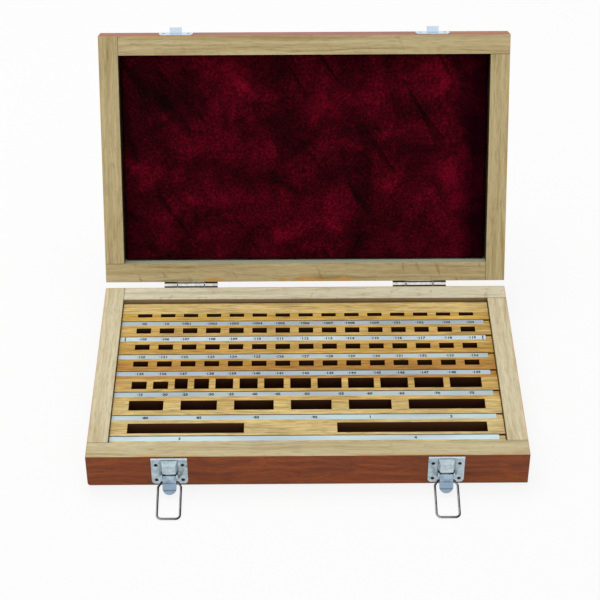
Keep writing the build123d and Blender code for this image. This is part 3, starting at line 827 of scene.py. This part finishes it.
    def end_marks(self) -> Object:
        """The short pencilled bar near each end of the second strip: two upright rectangles.

        Graphite is dark grey and less matt than ink.

        Returns:
            One flat mesh of both bars.
        """
        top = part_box("size_strip_2")[1].z + self.print_lift_mm * MM
        corners = np.array([(-1, -1), (1, -1), (1, 1), (-1, 1)]) * self.half_bar_mm
        flat = np.concatenate([corners + (x, ROWS[1].strip_y_mm) for x in self.bars_x_mm]) * MM
        made = mesh_object("strip_end_marks", np.column_stack([flat, np.full(8, top)]),
                           np.arange(8).reshape(2, 4), False)
        set_material(made, new_material("pencil_graphite", {"Base Color": hex_colour("1A1E26"),
                                                            "Roughness": 0.6})[0])
        return made

    def dress(self, nodes: dict[str, Object]) -> None:
        """Finish the battens, blocks, strips and floor of the tray, and print the sizes.

        Args:
            nodes: The CAD nodes by name.
        """
        for number, tone in enumerate([self.rear_batten] + [row.wood for row in ROWS], start=1):
            name = f"tray_batten_{number}"
            set_material(nodes[name], self.wood(name, tone, 2.1 * number, number == self.lit_batten))
        printed = [self.end_marks()]
        for number, row in enumerate(ROWS, start=1):
            name = f"row_{number}_spacers"
            set_material(nodes[name], self.wood(name, row.wood, 11.0 + 1.9 * number))
            set_material(nodes[f"size_strip_{number}"], self.strip_metal(number, row.strip))
            printed.append(self.sizes(number, row))
        for piece in printed:
            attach(piece, "base")
            log.info("printed %s", piece.name)
        set_material(nodes["tray_floor"], self.floor_board())


@dataclass(frozen=True)
class VelvetLining:
    """The padded velvet in the lid: foam on a board, covered in wine red velvet and tucked in round it.

    Velvet's pile was crushed this way and that, so patches of it catch the light and others are
    nearly black.
    """
    half_width_mm: float = 135.5
    half_depth_mm: float = 78.0
    board_face_mm: float = 42.3
    thickness_mm: float = 4.2
    crown_mm: float = 0.6
    roll_mm: float = 2.0
    corner_mm: float = 2.0
    lift_mm: float = 0.7
    pinned_mm: float = 4.0
    wave_fade_mm: float = 8.0
    tuck_mm: float = 6.0
    spare_share: float = 0.03
    cloth_points: tuple[int, int] = (91, 53)
    pad_points: tuple[int, int] = (130, 78)
    roll_points: int = 9
    frames: int = 20
    pile: tuple[str, str, str, str] = ("180708", "360610", "540817", "880E28")
    sheen: str = "C01838"
    side_shade: str = "14020A"
    patch_mm: float = 33.33
    crease_mm: tuple[float, float, float] = (100.0, 16.0, 100.0)
    crease_turn: float = 56.0
    nap_mm: float = 1.923
    # Where painted light grows towards the right, and where painted shade lies along the sides
    lit_mm: tuple[float, float] = (72.0, 105.0)
    shade_mm: tuple[float, float] = (114.0, 138.0)
    shade_shift_mm: float = 12.0

    def spread(self, half: float, count: int) -> np.ndarray:
        """Work out places from edge to edge that crowd together where the pad rolls over its edge.

        Args:
            half: Distance from the middle to an edge, in millimetres.
            count: Places between the two rolls, with the last of each roll.

        Returns:
            The places, from the lowest up.
        """
        roll = self.roll_mm * (1 - np.cos(np.linspace(0, math.pi / 2, self.roll_points)))
        inner = np.linspace(-half + self.roll_mm, half - self.roll_mm, count)[1:-1]
        return np.concatenate([-half + roll, inner, half - roll[::-1]])

    def settled(self) -> np.ndarray:
        """Let the velvet settle as cloth that is a little too large for its foam.

        The sheet starts as a grid with low waves: a sum of products of sines of x and y. It is
        pinned round its edge and held softly elsewhere, as foam holds it, and it wants to be a few
        percent larger, so it ripples.

        Returns:
            How far each point of the grid stands out, in millimetres.
        """
        rows, columns = self.cloth_points
        x, y = np.meshgrid(np.linspace(-self.half_width_mm, self.half_width_mm, rows),
                           np.linspace(-self.half_depth_mm, self.half_depth_mm, columns), indexing="ij")
        wave = (0.25 * np.sin(x / 9.0 + 1.3 * np.sin(y / 21.0)) * np.sin(y / 12.0 + 0.7)
                + 0.2 * np.sin((x + 1.4 * y) / 7.0) * np.sin((x - y) / 31.0))
        points = np.stack([x, y, wave], -1).reshape(-1, 3) * MM
        sheet = mesh_object("velvet_sheet", points, grid_faces(rows, columns))
        held = sheet.vertex_groups.new(name="held")
        edge = np.minimum(self.half_width_mm - abs(x), self.half_depth_mm - abs(y)).ravel() < self.pinned_mm
        held.add(np.flatnonzero(edge).tolist(), 1.0, "REPLACE")
        held.add(np.flatnonzero(~edge).tolist(), 0.02, "REPLACE")
        cloth = sheet.modifiers.new("velvet", "CLOTH")
        cloth.settings.vertex_group_mass = "held"
        cloth.settings.pin_stiffness = 0.6
        cloth.settings.shrink_min = -self.spare_share
        cloth.settings.bending_stiffness = 0.6
        cloth.settings.effector_weights.gravity = 0.0
        for frame in range(1, self.frames + 1):
            bpy.context.scene.frame_set(frame)
        moved = np.empty(rows * columns * 3)
        sheet.evaluated_get(bpy.context.evaluated_depsgraph_get()).data.vertices.foreach_get("co", moved)
        bpy.context.scene.frame_set(1)
        bpy.data.objects.remove(sheet)
        rise = moved.reshape(rows, columns, 3)[..., 2] / MM
        log.info("velvet moved from %.2f to %.2f mm", rise.min(), rise.max())
        return np.clip(rise, -self.lift_mm, self.lift_mm)

    def rippled(self, x: np.ndarray, y: np.ndarray) -> np.ndarray:
        """Read the settled cloth at any places, straight between its own points.

        Args:
            x: Places along the lid, in millimetres.
            y: Places across it.

        Returns:
            How far the cloth stands out there, in millimetres.
        """
        rows, columns = self.cloth_points
        u = (x / self.half_width_mm + 1) / 2 * (rows - 1)
        v = (y / self.half_depth_mm + 1) / 2 * (columns - 1)
        i, j = np.clip(u.astype(int), 0, rows - 2), np.clip(v.astype(int), 0, columns - 2)
        p, q = u - i, v - j
        cloth = self.settled()
        return ((1 - p) * (1 - q) * cloth[i, j] + p * (1 - q) * cloth[i + 1, j]
                + (1 - p) * q * cloth[i, j + 1] + p * q * cloth[i + 1, j + 1])

    def shape(self) -> Object:
        """Build the pad as one closed surface.

        The front's height over a grid of x and y is the foam's thickness plus a low crown and the
        settled cloth, times the quarter circle of the distance to the nearest edge. The back is the
        same grid, flat on the board. Points in a corner are drawn in to a quarter circle, and the
        tucked edge wavers by a fraction of a millimetre: a sum of sines of x and y.

        Returns:
            The pad, in the open lid.
        """
        x, y = np.meshgrid(*(self.spread(half, count) for half, count in
                             zip((self.half_width_mm, self.half_depth_mm), self.pad_points)), indexing="ij")
        wave = self.rippled(x, y)
        to_edge = np.minimum(self.half_width_mm - abs(x), self.half_depth_mm - abs(y))
        rise = np.sqrt(np.clip(1 - (1 - np.clip(to_edge / self.roll_mm, 0, 1)) ** 2, 0, 1))
        bow = (1 - (x / self.half_width_mm) ** 2) * (1 - (y / self.half_depth_mm) ** 2)
        ripples = wave * np.clip(to_edge / self.wave_fade_mm, 0, 1)
        height = rise * (self.thickness_mm + self.crown_mm * bow + ripples)
        centre_x, centre_y = self.half_width_mm - self.corner_mm, self.half_depth_mm - self.corner_mm
        past_x, past_y = abs(x) - centre_x, abs(y) - centre_y
        in_corner = (past_x > 0) & (past_y > 0)
        length = np.where(in_corner, np.hypot(past_x, past_y), 1.0)
        pull = np.where(in_corner, np.maximum(past_x, past_y) / length, 1.0)
        x = np.where(in_corner, np.sign(x) * (centre_x + past_x * pull), x)
        y = np.where(in_corner, np.sign(y) * (centre_y + past_y * pull), y)
        waver = abs(0.12 * np.sin(x / 17.0 + 0.4) + 0.09 * np.sin(x / 7.3) + 0.1 * np.sin(y / 11.0))
        tuck = waver * np.clip(1 - to_edge / self.tuck_mm, 0, 1)
        y = y - np.sign(y) * tuck * (abs(y) > self.half_depth_mm - self.tuck_mm - 1)
        x = x - np.sign(x) * tuck * (abs(x) > self.half_width_mm - self.tuck_mm - 1)
        front = np.stack([x, y, self.board_face_mm - height], -1).reshape(-1, 3)
        back = np.stack([x, y, np.full_like(x, self.board_face_mm)], -1).reshape(-1, 3)
        quads = grid_faces(*x.shape)
        points = SIZES.open_out(np.concatenate([front, back]) * MM)
        made = mesh_object("velvet_pad", points, np.concatenate([quads[:, ::-1], quads + x.size]))
        weld(made)
        return made

    def velvet(self) -> Material:
        """Cotton velvet: dark where the pile faces the eye, with a red sheen and crushed patches.

        The patches are 15 to 40 mm across, the long creases run slantwise, and the nap is drawn
        about 1 mm coarse so that it shows. Light is painted in towards the right, and shade is painted
        along both sides.

        Returns:
            The material.
        """
        material, shader = new_material("cotton_velvet", {
            "Roughness": 0.95, "Specular IOR Level": 0.0, "Sheen Weight": 0.12, "Sheen Roughness": 0.35,
            "Sheen Tint": hex_colour(self.sheen)})
        tree = material.node_tree
        add = partial(add_node, tree)
        place = shut_coordinates(tree, Side.LID)
        x = add("SeparateXYZ", {0: place})
        patches = add("TexNoise", {"Vector": place, "Scale": scale_of(self.patch_mm), "Detail": 4.0,
                                   "Roughness": 0.6, "Distortion": 0.5})
        crease_place = add("Mapping", {"Vector": place, "Location": (0.3, 0.1, 0),
                                       "Rotation": (0, 0, math.radians(self.crease_turn)),
                                       "Scale": metres(self.crease_mm)}, vector_type="TEXTURE")
        creases = add("TexNoise", {"Vector": crease_place, "Scale": 1.0, "Detail": 2.0, "Distortion": 0.8})
        creases = add("MapRange", {"Value": creases, "From Min": 0.28, "From Max": 0.42})
        nap = add("TexNoise", {"Vector": place, "Scale": scale_of(self.nap_mm), "Detail": 4.0,
                               "Roughness": 0.85})
        # Painted light: the colour gets lighter towards the right.
        dim, lit = metres(self.lit_mm)
        mixed = add("MapRange", {"Value": x, "From Min": dim, "From Max": lit, "To Min": -0.024,
                                 "To Max": 0.015})
        for layer, share in ((patches, 0.42), (creases, 0.12), (nap, 0.5)):
            mixed = add("Math", {0: layer, 1: share, 2: mixed}, operation="MULTIPLY_ADD")
        colour = add("ValToRGB", {"Fac": mixed}, stops=list(zip((0.44, 0.535, 0.6, 0.7), self.pile)))
        # Painted shade along both sides.
        off = distance(tree, x, -self.shade_shift_mm * MM)
        sides = Mark(off, *metres(self.shade_mm), 0.85, self.side_shade)
        connect(shader, {"Base Color": lay_marks(tree, colour, [sides]),
                         "Normal": add("Bump", {"Strength": 0.5, "Distance": 0.4 * MM, "Height": nap})})
        return material

    def dress(self) -> None:
        """Build the pad in place of its plain solid."""
        pad = self.shape()
        set_material(pad, self.velvet())
        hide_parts("lid_velvet_lining")
        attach(pad, "lid")
        log.info("built %s with %d faces", pad.name, len(pad.data.polygons))


@dataclass(frozen=True)
class PlatedSteel:
    """Plated steel: bluish white and satin from barrel plating, with dull blotches and scratches.

    The blotches are 3 to 6 mm across and the scratches are drawn about 0.3 mm apart. The other
    marks are painted light and shade, as the marks say.
    """
    name: str
    colour: str
    shade: str
    roughness: float
    blotches: float = 0.0
    # Height above which a painted highlight lies along the lip
    painted_highlight_above_mm: float = FAR_MM
    # Height below which the metal gets painted shade
    painted_dull_below_mm: float = -FAR_MM
    # Heights of the lever's bends, each drawn as a painted shade line
    bends_mm: tuple[float, ...] = ()
    # Strength of the painted shade in the splits between knuckles
    splits: float = 0.0
    # Strength of a painted dark reflection on one side
    painted_dark_side: float = 0.0
    dark_rims: float = 0.0
    # Where a painted highlight lies along the crown of a bend
    crown_mm: float = -FAR_MM
    # Height below which painted shade lies in the gap to the base
    painted_gap_shade_below_mm: float = -FAR_MM
    cloud_mm: float = 3.333
    blotch_mm: float = 5.263
    scratch_mm: float = 0.3333
    # Reach of the painted shade where the metal is hemmed in
    crevice_shade_reach_mm: float = 3.0
    knuckle_mm: float = 10.15

    def marks(self, tree: NodeTree, place: NodeSocket) -> list[Mark]:
        """List the marks on the plating: blotches of wear, and painted light and shade.

        From the lowest up: dull blotches, painted shade on the lower ends of the levers, a painted
        highlight on the crown of a bend, painted shade where the metal is hemmed in, painted shade in
        the splits between a hinge's knuckles, a painted dark reflection on one side of the wire,
        painted shade in the gap between a hinge and the base, a painted highlight along a lip, and
        painted shade lines along a lever's bends. A hinge's rims are painted dark by Layer Weight as a
        painted reflection, which goes by the view, so its leaves turn nearly black from behind: a known
        fault.

        Args:
            tree: The node tree that gets the nodes.
            place: Object coordinates.

        Returns:
            The marks.
        """
        add = partial(add_node, tree)
        x, y, z = add("SeparateXYZ", {0: place}).node.outputs
        facing = add("SeparateXYZ", {0: add("TexCoord", output="Normal")}).node.outputs
        spots = add("TexNoise", {"Vector": place, "Scale": scale_of(self.blotch_mm), "Detail": 5.0,
                                 "Roughness": 0.7})
        # Painted shade where the metal is hemmed in, from ambient occlusion
        hemmed = add("AmbientOcclusion", {"Distance": self.crevice_shade_reach_mm * MM}, "AO", samples=8)
        off_hinge = distance(tree, distance(tree, x), SIZES.hinge_x * MM)
        off_split = distance(tree, off_hinge, self.knuckle_mm * MM)
        # Painted shade in the gap between a hinge and the base, low on its front
        low = add("MapRange", {"Value": z, "From Min": (self.painted_gap_shade_below_mm + 0.3) * MM,
                               "From Max": (self.painted_gap_shade_below_mm - 0.3) * MM})
        # Painted dark reflection on the rims that turn from the view
        turned = add("LayerWeight", {"Blend": 0.5}, "Facing")
        painted_dull_height, crown, rubbed = metres((self.painted_dull_below_mm, self.crown_mm, self.painted_highlight_above_mm))
        marks = [Mark(spots, 0.57, 0.68, self.blotches, "4B5054"),
                 # Painted shade on the lower ends of the levers
                 Mark(z, painted_dull_height + 0.4 * MM, painted_dull_height - 0.4 * MM, 0.85, "8CA2B4"),
                 # Painted highlight on the crown of the latch's bridge
                 Mark(y, crown + 1.5 * MM, crown, 0.3, "E2EFF8"),
                 # Painted shade where the metal is hemmed in
                 Mark(hemmed, 0.75, 0.35, 0.85, "24272B"),
                 # Painted shade in the splits between a hinge's knuckles
                 Mark(off_split, 0.5 * MM, 0.25 * MM, self.splits, "1C1D20"),
                 # Painted dark reflection on one side of the wire
                 Mark(facing[0], -0.15, 0.1, self.painted_dark_side, "1A1A1E"),
                 # Painted dark reflection on the rims, by Layer Weight
                 Mark(turned, 0.1, 0.3, self.dark_rims, "121316"),
                 # Painted shade in the gap between a hinge and the base
                 Mark(facing[1], -0.1, -0.3, low, "16140F"),
                 # Painted highlight along the top of the lip
                 Mark(z, rubbed - 0.1 * MM, rubbed + 0.1 * MM, 0.9, "D2E2F2")]
        # Painted shade lines along the lever's bends
        return marks + [Mark(distance(tree, z, bend * MM), 0.45 * MM, 0.1 * MM, 0.6, "4A5A6A")
                        for bend in self.bends_mm]

    def material(self) -> Material:
        """The metal as a material: clouded plating under its marks.

        Returns:
            The material.
        """
        material, shader = new_material(self.name, {"Metallic": 1.0})
        tree = material.node_tree
        add = partial(add_node, tree)
        place = add("TexCoord", output="Object")
        cloud = add("TexNoise", {"Vector": place, "Scale": scale_of(self.cloud_mm), "Detail": 3.0})
        scratch = add("TexNoise", {"Vector": place, "Scale": scale_of(self.scratch_mm), "Detail": 1.0})
        marks = [Mark(cloud, 0.38, 0.66, 1.0, self.shade)] + self.marks(tree, place)
        connect(shader, {
            "Base Color": lay_marks(tree, hex_colour(self.colour), marks),
            "Roughness": add("MapRange", {"Value": cloud, "To Min": self.roughness - 0.08,
                                          "To Max": self.roughness + 0.12}),
            "Normal": add("Bump", {"Strength": 0.08, "Distance": 0.05 * MM, "Height": scratch})})
        return material


# Zinc on sheet is bluish, with a painted highlight on its lip and on the crown of its bend, and
# painted shade on the levers' lower ends. Nickel on the hinges and the wire is warmer and glossier,
# with painted shade and painted dark reflections on it, and the screws have gone black with oil.
LATCH_PLATING = PlatedSteel("zinc_plated_sheet", "BDCCD2", "9FAFB8", 0.24, 0.5, painted_highlight_above_mm=26.5,
                            crown_mm=-97.0)
LEVER_PLATING = PlatedSteel("zinc_plated_lever", "B4C8D8", "93A8BC", 0.26, 0.3, painted_dull_below_mm=8.4,
                            bends_mm=(8.6, 5.2))
HINGE_PLATING = PlatedSteel("nickel_plated_hinge", "E6E6E2", "C4C4C0", 0.14, 0.3, splits=0.9, dark_rims=0.97,
                            painted_gap_shade_below_mm=29.0)
WIRE_PLATING = PlatedSteel("nickel_plated_wire", "C2C0CA", "A09FA8", 0.2, 0.1, painted_dark_side=0.95)
SCREW_STEEL = PlatedSteel("blackened_screw", "3C3D40", "242426", 0.4)


@dataclass(frozen=True)
class Screws:
    """One group of countersunk slotted screws on one body: their seats and their size."""
    name: str
    side: Side
    slot: str
    steel: PlatedSteel
    places_mm: tuple[tuple[float, float, float], ...]
    outward_y: float
    radius_mm: float
    depth_mm: float
    turns: tuple[float, ...] = (0.5, 2.2, 1.1, 2.8, 0.2, 1.7, 0.9, 2.4)
    ticks: tuple[float, ...] = (-1, -0.8, -0.5, -0.2, -0.19, 0, 0.19, 0.2, 0.5, 0.8, 1)
    half_slot: float = 0.195

    def build(self) -> Object:
        """Build every head of the group in one mesh.

        A square grid of parameters from -1 to 1 is pressed into a disc. Its height is a low dome,
        lowered where it lies within the slot, and a cone closes it below. Each head is turned its
        own way round the outward direction.

        Returns:
            The heads.
        """
        u, v = np.meshgrid(self.ticks, self.ticks, indexing="ij")
        x, y = u * np.sqrt(1 - v ** 2 / 2), v * np.sqrt(1 - u ** 2 / 2)
        dome = 0.12 * (1 - x ** 2 - y ** 2) - 0.3 * (abs(v) < self.half_slot)
        top = np.stack([x, y, dome], -1).reshape(-1, 3) * self.radius_mm
        under = np.stack([x, y, 0 * x], -1).reshape(-1, 3) * self.radius_mm * 0.5 - (0, 0, self.depth_mm)
        count = len(self.ticks)
        edge = np.concatenate([np.arange(count), np.arange(2 * count - 1, count * count, count),
                               np.arange(count * count - 2, count * (count - 1) - 1, -1),
                               np.arange(count * (count - 2), 0, -count)])
        following = np.roll(edge, -1)
        quads = grid_faces(count, count)
        skirt = np.stack([edge, edge + len(top), following + len(top), following], -1)
        faces = np.concatenate([quads, quads[:, ::-1] + len(top), skirt])
        head = np.concatenate([top, under])
        out = np.array([0.0, self.outward_y, 0.0])
        turns = np.array(self.turns[:len(self.places_mm)])
        along = np.stack([np.cos(turns), 0 * turns, np.sin(turns)], -1)
        axes = np.stack([along, np.cross(out, along), np.broadcast_to(out, along.shape)], 1)
        points = (np.einsum("pk,skd->spd", head, axes) + np.array(self.places_mm)[:, None]) * MM
        points = points.reshape(-1, 3)
        if self.side is Side.LID:
            points = SIZES.open_out(points)
        numbers = faces[None] + np.arange(len(self.places_mm))[:, None, None] * len(head)
        made = mesh_object(self.name, points, numbers.reshape(-1, 4), False)
        weld(made)
        return made

    def dress(self) -> None:
        """Build the screws and let them ride on their body."""
        made = self.build()
        set_material(made, self.steel.material())
        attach(made, self.side.value)
        log.info("built %s", made.name)


def seats(middle: float, offsets: tuple[float, ...], y: float,
          heights: tuple[float, ...]) -> tuple[tuple[float, float, float], ...]:
    """Seats of the screws of a left and a right fitting, in millimetres."""
    return tuple((sign * middle + dx, y, z) for sign in (-1, 1) for dx in offsets for z in heights)


SCREWS = (
    Screws("latch_screws", Side.BASE, "latch_metal", SCREW_STEEL,
           seats(SIZES.latch_x, (-9, 9), -93.25, (20.8, 7.2)), -1, 1.25, 0.7),
    Screws("catch_screws", Side.LID, "latch_metal", SCREW_STEEL,
           seats(SIZES.latch_x, (-9, 9), -93.25, (36.8,)), -1, 1.25, 0.7),
    Screws("hinge_base_screws", Side.BASE, "hinge_metal", HINGE_PLATING,
           seats(SIZES.hinge_x, (-13, 13), 93.65, (18.95,)), 1, 2.5, 1.1),
    Screws("hinge_lid_screws", Side.LID, "hinge_metal", HINGE_PLATING,
           seats(SIZES.hinge_x, (-13, 13), 93.65, (37.35,)), 1, 2.5, 1.1),
)


@dataclass(frozen=True)
class WireBail:
    """The wire loop of a latch, bent from round wire and lying with its far end on the table."""
    name: str
    x_mm: float
    pivot_y_mm: float = -95.9
    pivot_z_mm: float = 7.55
    wire_mm: float = 0.8
    sides: int = 16
    tilt: float = 13.36
    corners_mm: tuple[tuple[float, float], ...] = (
        (3.2, 0), (5.6, 0), (7.75, 4.0), (7.75, 29.0), (-7.75, 29.0), (-7.75, 4.0), (-5.6, 0), (-3.2, 0))
    bends_mm: tuple[float, ...] = (1.2, 1.2, 3.0, 3.0, 1.2, 1.2)
    bend_points: int = 9

    def centre_line(self) -> np.ndarray:
        """Round the corners of the wire's path: each becomes an arc that touches both of its runs.

        Returns:
            Points along the path, in the loop's own plane.
        """
        corners = np.array(self.corners_mm)
        into = corners[1:-1] - corners[:-2]
        out = corners[2:] - corners[1:-1]
        into /= np.linalg.norm(into, axis=1, keepdims=True)
        out /= np.linalg.norm(out, axis=1, keepdims=True)
        turn = np.arccos(np.clip((into * out).sum(1), -1, 1))
        radius = np.array(self.bends_mm)
        way = out - into
        way /= np.linalg.norm(way, axis=1, keepdims=True)
        centre = corners[1:-1] + way * (radius / np.cos(turn / 2))[:, None]
        start = corners[1:-1] - into * (radius * np.tan(turn / 2))[:, None] - centre
        sign = np.sign(into[:, 0] * out[:, 1] - into[:, 1] * out[:, 0])
        angle = (sign * turn)[:, None] * np.linspace(0, 1, self.bend_points)
        arcs = np.stack([start[:, :1] * np.cos(angle) - start[:, 1:] * np.sin(angle),
                         start[:, :1] * np.sin(angle) + start[:, 1:] * np.cos(angle)], -1) + centre[:, None]
        return np.concatenate([corners[:1], arcs.reshape(-1, 2), corners[-1:]])

    def build(self) -> Object:
        """Carry a circle along the centre line, square to it, and close both ends.

        Returns:
            The wire.
        """
        path = self.centre_line()
        steps = np.gradient(path, axis=0)
        steps /= np.linalg.norm(steps, axis=1, keepdims=True)
        lean = math.radians(self.tilt)
        plane = np.array([[1.0, 0, 0], [0, -math.cos(lean), -math.sin(lean)]])
        up = np.cross(*plane)
        spine = np.array([self.x_mm, self.pivot_y_mm, self.pivot_z_mm]) + path @ plane
        sideways = np.cross(steps @ plane, up)
        turns = np.linspace(0, 2 * math.pi, self.sides + 1)[:-1, None]
        rings = spine[:, None] + self.wire_mm * (np.cos(turns) * sideways[:, None] + np.sin(turns) * up)
        cap = np.arange(self.sides)
        faces = [*grid_faces(len(path), self.sides, True), cap[::-1], cap + (len(path) - 1) * self.sides]
        made = mesh_object(f"wire_{self.name}", rings.reshape(-1, 3) * MM, faces)
        weld(made)
        return made

    def dress(self, steel: Material) -> None:
        """Build the wire in place of its node.

        Args:
            steel: The wire's material.
        """
        made = self.build()
        set_material(made, steel)
        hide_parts(self.name)
        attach(made, self.name)
        log.info("built %s", made.name)


@dataclass(frozen=True)
class Hardware:
    """Hinges, latches and catches, with their screws and wire."""
    platings: tuple[tuple[str, PlatedSteel], ...] = (("lever", LEVER_PLATING), ("hinge", HINGE_PLATING),
                                                     ("latch", LATCH_PLATING), ("catch", LATCH_PLATING))

    def dress(self, nodes: dict[str, Object]) -> None:
        """Finish the metal pieces and add the screws and the bails.

        The first word that a node's name holds gives its plating, so a latch's lever is a lever.

        Args:
            nodes: The CAD nodes by name.
        """
        finishes = {word: plating.material() for word, plating in self.platings}
        for name, node in nodes.items():
            word = next((word for word in finishes if word in name), None)
            if word:
                set_material(node, finishes[word])
        steel = WIRE_PLATING.material()
        WireBail("latch_left_bail", -SIZES.latch_x).dress(steel)
        WireBail("latch_right_bail", SIZES.latch_x).dress(steel)
        for screws in SCREWS:
            screws.dress()


@dataclass(frozen=True)
class SoftLamp:
    """A square lamp that points at the case."""
    name: str
    place: tuple[float, float, float]
    watts: float
    size: float

    def hang(self) -> None:
        """Hang the lamp where reflections don't show it."""
        data = bpy.data.lights.new(self.name, "AREA")
        data.energy, data.size = self.watts, self.size
        lamp = bpy.data.objects.new(self.name, data)
        lamp.visible_glossy = False
        lamp.location = self.place
        lamp.rotation_euler = (Vector((0, 0, 0.03)) - lamp.location).to_track_quat("-Z", "Y").to_euler()
        bpy.context.scene.collection.objects.link(lamp)


def seen_by(tree: NodeTree, *rays: str) -> NodeSocket:
    """Mask the rays of some kinds.

    Args:
        tree: The node tree that gets the nodes.
        rays: Names of the kinds, as Light Path has them.

    Returns:
        1 for those rays and 0 for the rest.
    """
    path = add_node(tree, "LightPath").node.outputs
    mask = path[rays[0]]
    for ray in rays[1:]:
        mask = add_node(tree, "Math", {0: mask, 1: path[ray]}, operation="MAXIMUM")
    return mask


@dataclass(frozen=True)
class Studio:
    """Camera, lamps, floor and background: a broad soft lamp above and behind, and a weak one in front."""
    camera_mm: tuple[float, float, float] = (-10.2, -983.3, 865.4)
    yaw: float = 0.33
    pitch: float = 38.31
    roll: float = 0.13
    lens_mm: float = 108.6
    lamps: tuple[SoftLamp, ...] = (SoftLamp("key", (-0.2, 0.35, 1.5), 14.0, 1.1),
                                   SoftLamp("front", (0.5, -1.6, 1.0), 1.0, 1.0))
    ambient: float = 0.5
    white_share: float = 0.86
    floor_half: float = 3.0
    floor_drop_mm: float = 0.02

    def camera(self) -> None:
        """Stand the camera where the photograph was taken from, turned by yaw, pitch and roll."""
        yaw, pitch, roll = (math.radians(a) for a in (self.yaw, self.pitch, self.roll))
        forward = Vector((math.sin(yaw) * math.cos(pitch), math.cos(yaw) * math.cos(pitch), -math.sin(pitch)))
        right = Vector((math.cos(yaw), -math.sin(yaw), 0.0))
        down = forward.cross(right)
        side = math.cos(roll) * right + math.sin(roll) * down
        up = math.sin(roll) * right - math.cos(roll) * down
        data = bpy.data.cameras.new("camera")
        data.lens, data.sensor_width = self.lens_mm, 36.0
        data.clip_start, data.clip_end = 0.05, 20.0
        camera = bpy.data.objects.new("camera", data)
        turn = Matrix((side, up, -forward)).transposed().to_4x4()
        camera.matrix_world = Matrix.Translation(Vector(self.camera_mm) * MM) @ turn
        bpy.context.scene.collection.objects.link(camera)
        bpy.context.scene.camera = camera

    def world(self) -> None:
        """Soft light from all round, and plain white where the camera or a reflection sees it."""
        world = bpy.data.worlds.new("studio")
        world.use_nodes = True
        tree = world.node_tree
        tree.nodes.clear()
        add = partial(add_node, tree)
        seen = seen_by(tree, "Is Camera Ray", "Is Glossy Ray", "Is Transmission Ray")
        ambient = add("Background", {"Color": hex_colour("FFFFFF"), "Strength": self.ambient})
        white = add("Background", {"Color": hex_colour("FFFFFF"), "Strength": 1.0})
        add("OutputWorld", {0: add("MixShader", {0: seen, 1: ambient, 2: white})})
        bpy.context.scene.world = world

    def floor(self) -> None:
        """A pale table top that keeps a soft shadow and otherwise shows as plain white."""
        corners = np.array([(-1, -1, 0), (1, -1, 0), (1, 1, 0), (-1, 1, 0)]) * self.floor_half
        floor = mesh_object("floor", corners - (0, 0, self.floor_drop_mm * MM), [(0, 1, 2, 3)], False)
        material = bpy.data.materials.new("pale_table")
        material.use_nodes = True
        tree = material.node_tree
        tree.nodes.clear()
        add = partial(add_node, tree)
        seen = seen_by(tree, "Is Camera Ray", "Is Glossy Ray")
        share = add("Math", {0: seen, 1: self.white_share}, operation="MULTIPLY")
        paint = add("BsdfDiffuse", {"Color": hex_colour("F2F2F0")})
        white = add("Emission", {"Color": hex_colour("FFFFFF"), "Strength": 1.0})
        add("OutputMaterial", {0: add("MixShader", {0: share, 1: paint, 2: white})})
        set_material(floor, material)

    def build(self) -> None:
        """Set up the whole studio."""
        self.camera()
        for lamp in self.lamps:
            lamp.hang()
        self.world()
        self.floor()
        bpy.context.scene.view_settings.view_transform = "Standard"


def main() -> None:
    """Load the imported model, set up the studio and dress each part of the model in order."""
    logging.basicConfig(level=logging.INFO, format="%(name)s: %(message)s")
    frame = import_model()
    Studio().build()
    BASE_FRAME.dress(frame["nodes"])
    LID_FRAME.dress(frame["nodes"])
    SlottedTray().dress(frame["nodes"])
    VelvetLining().dress()
    Hardware().dress(frame["nodes"])


if __name__ == "__main__":
    main()
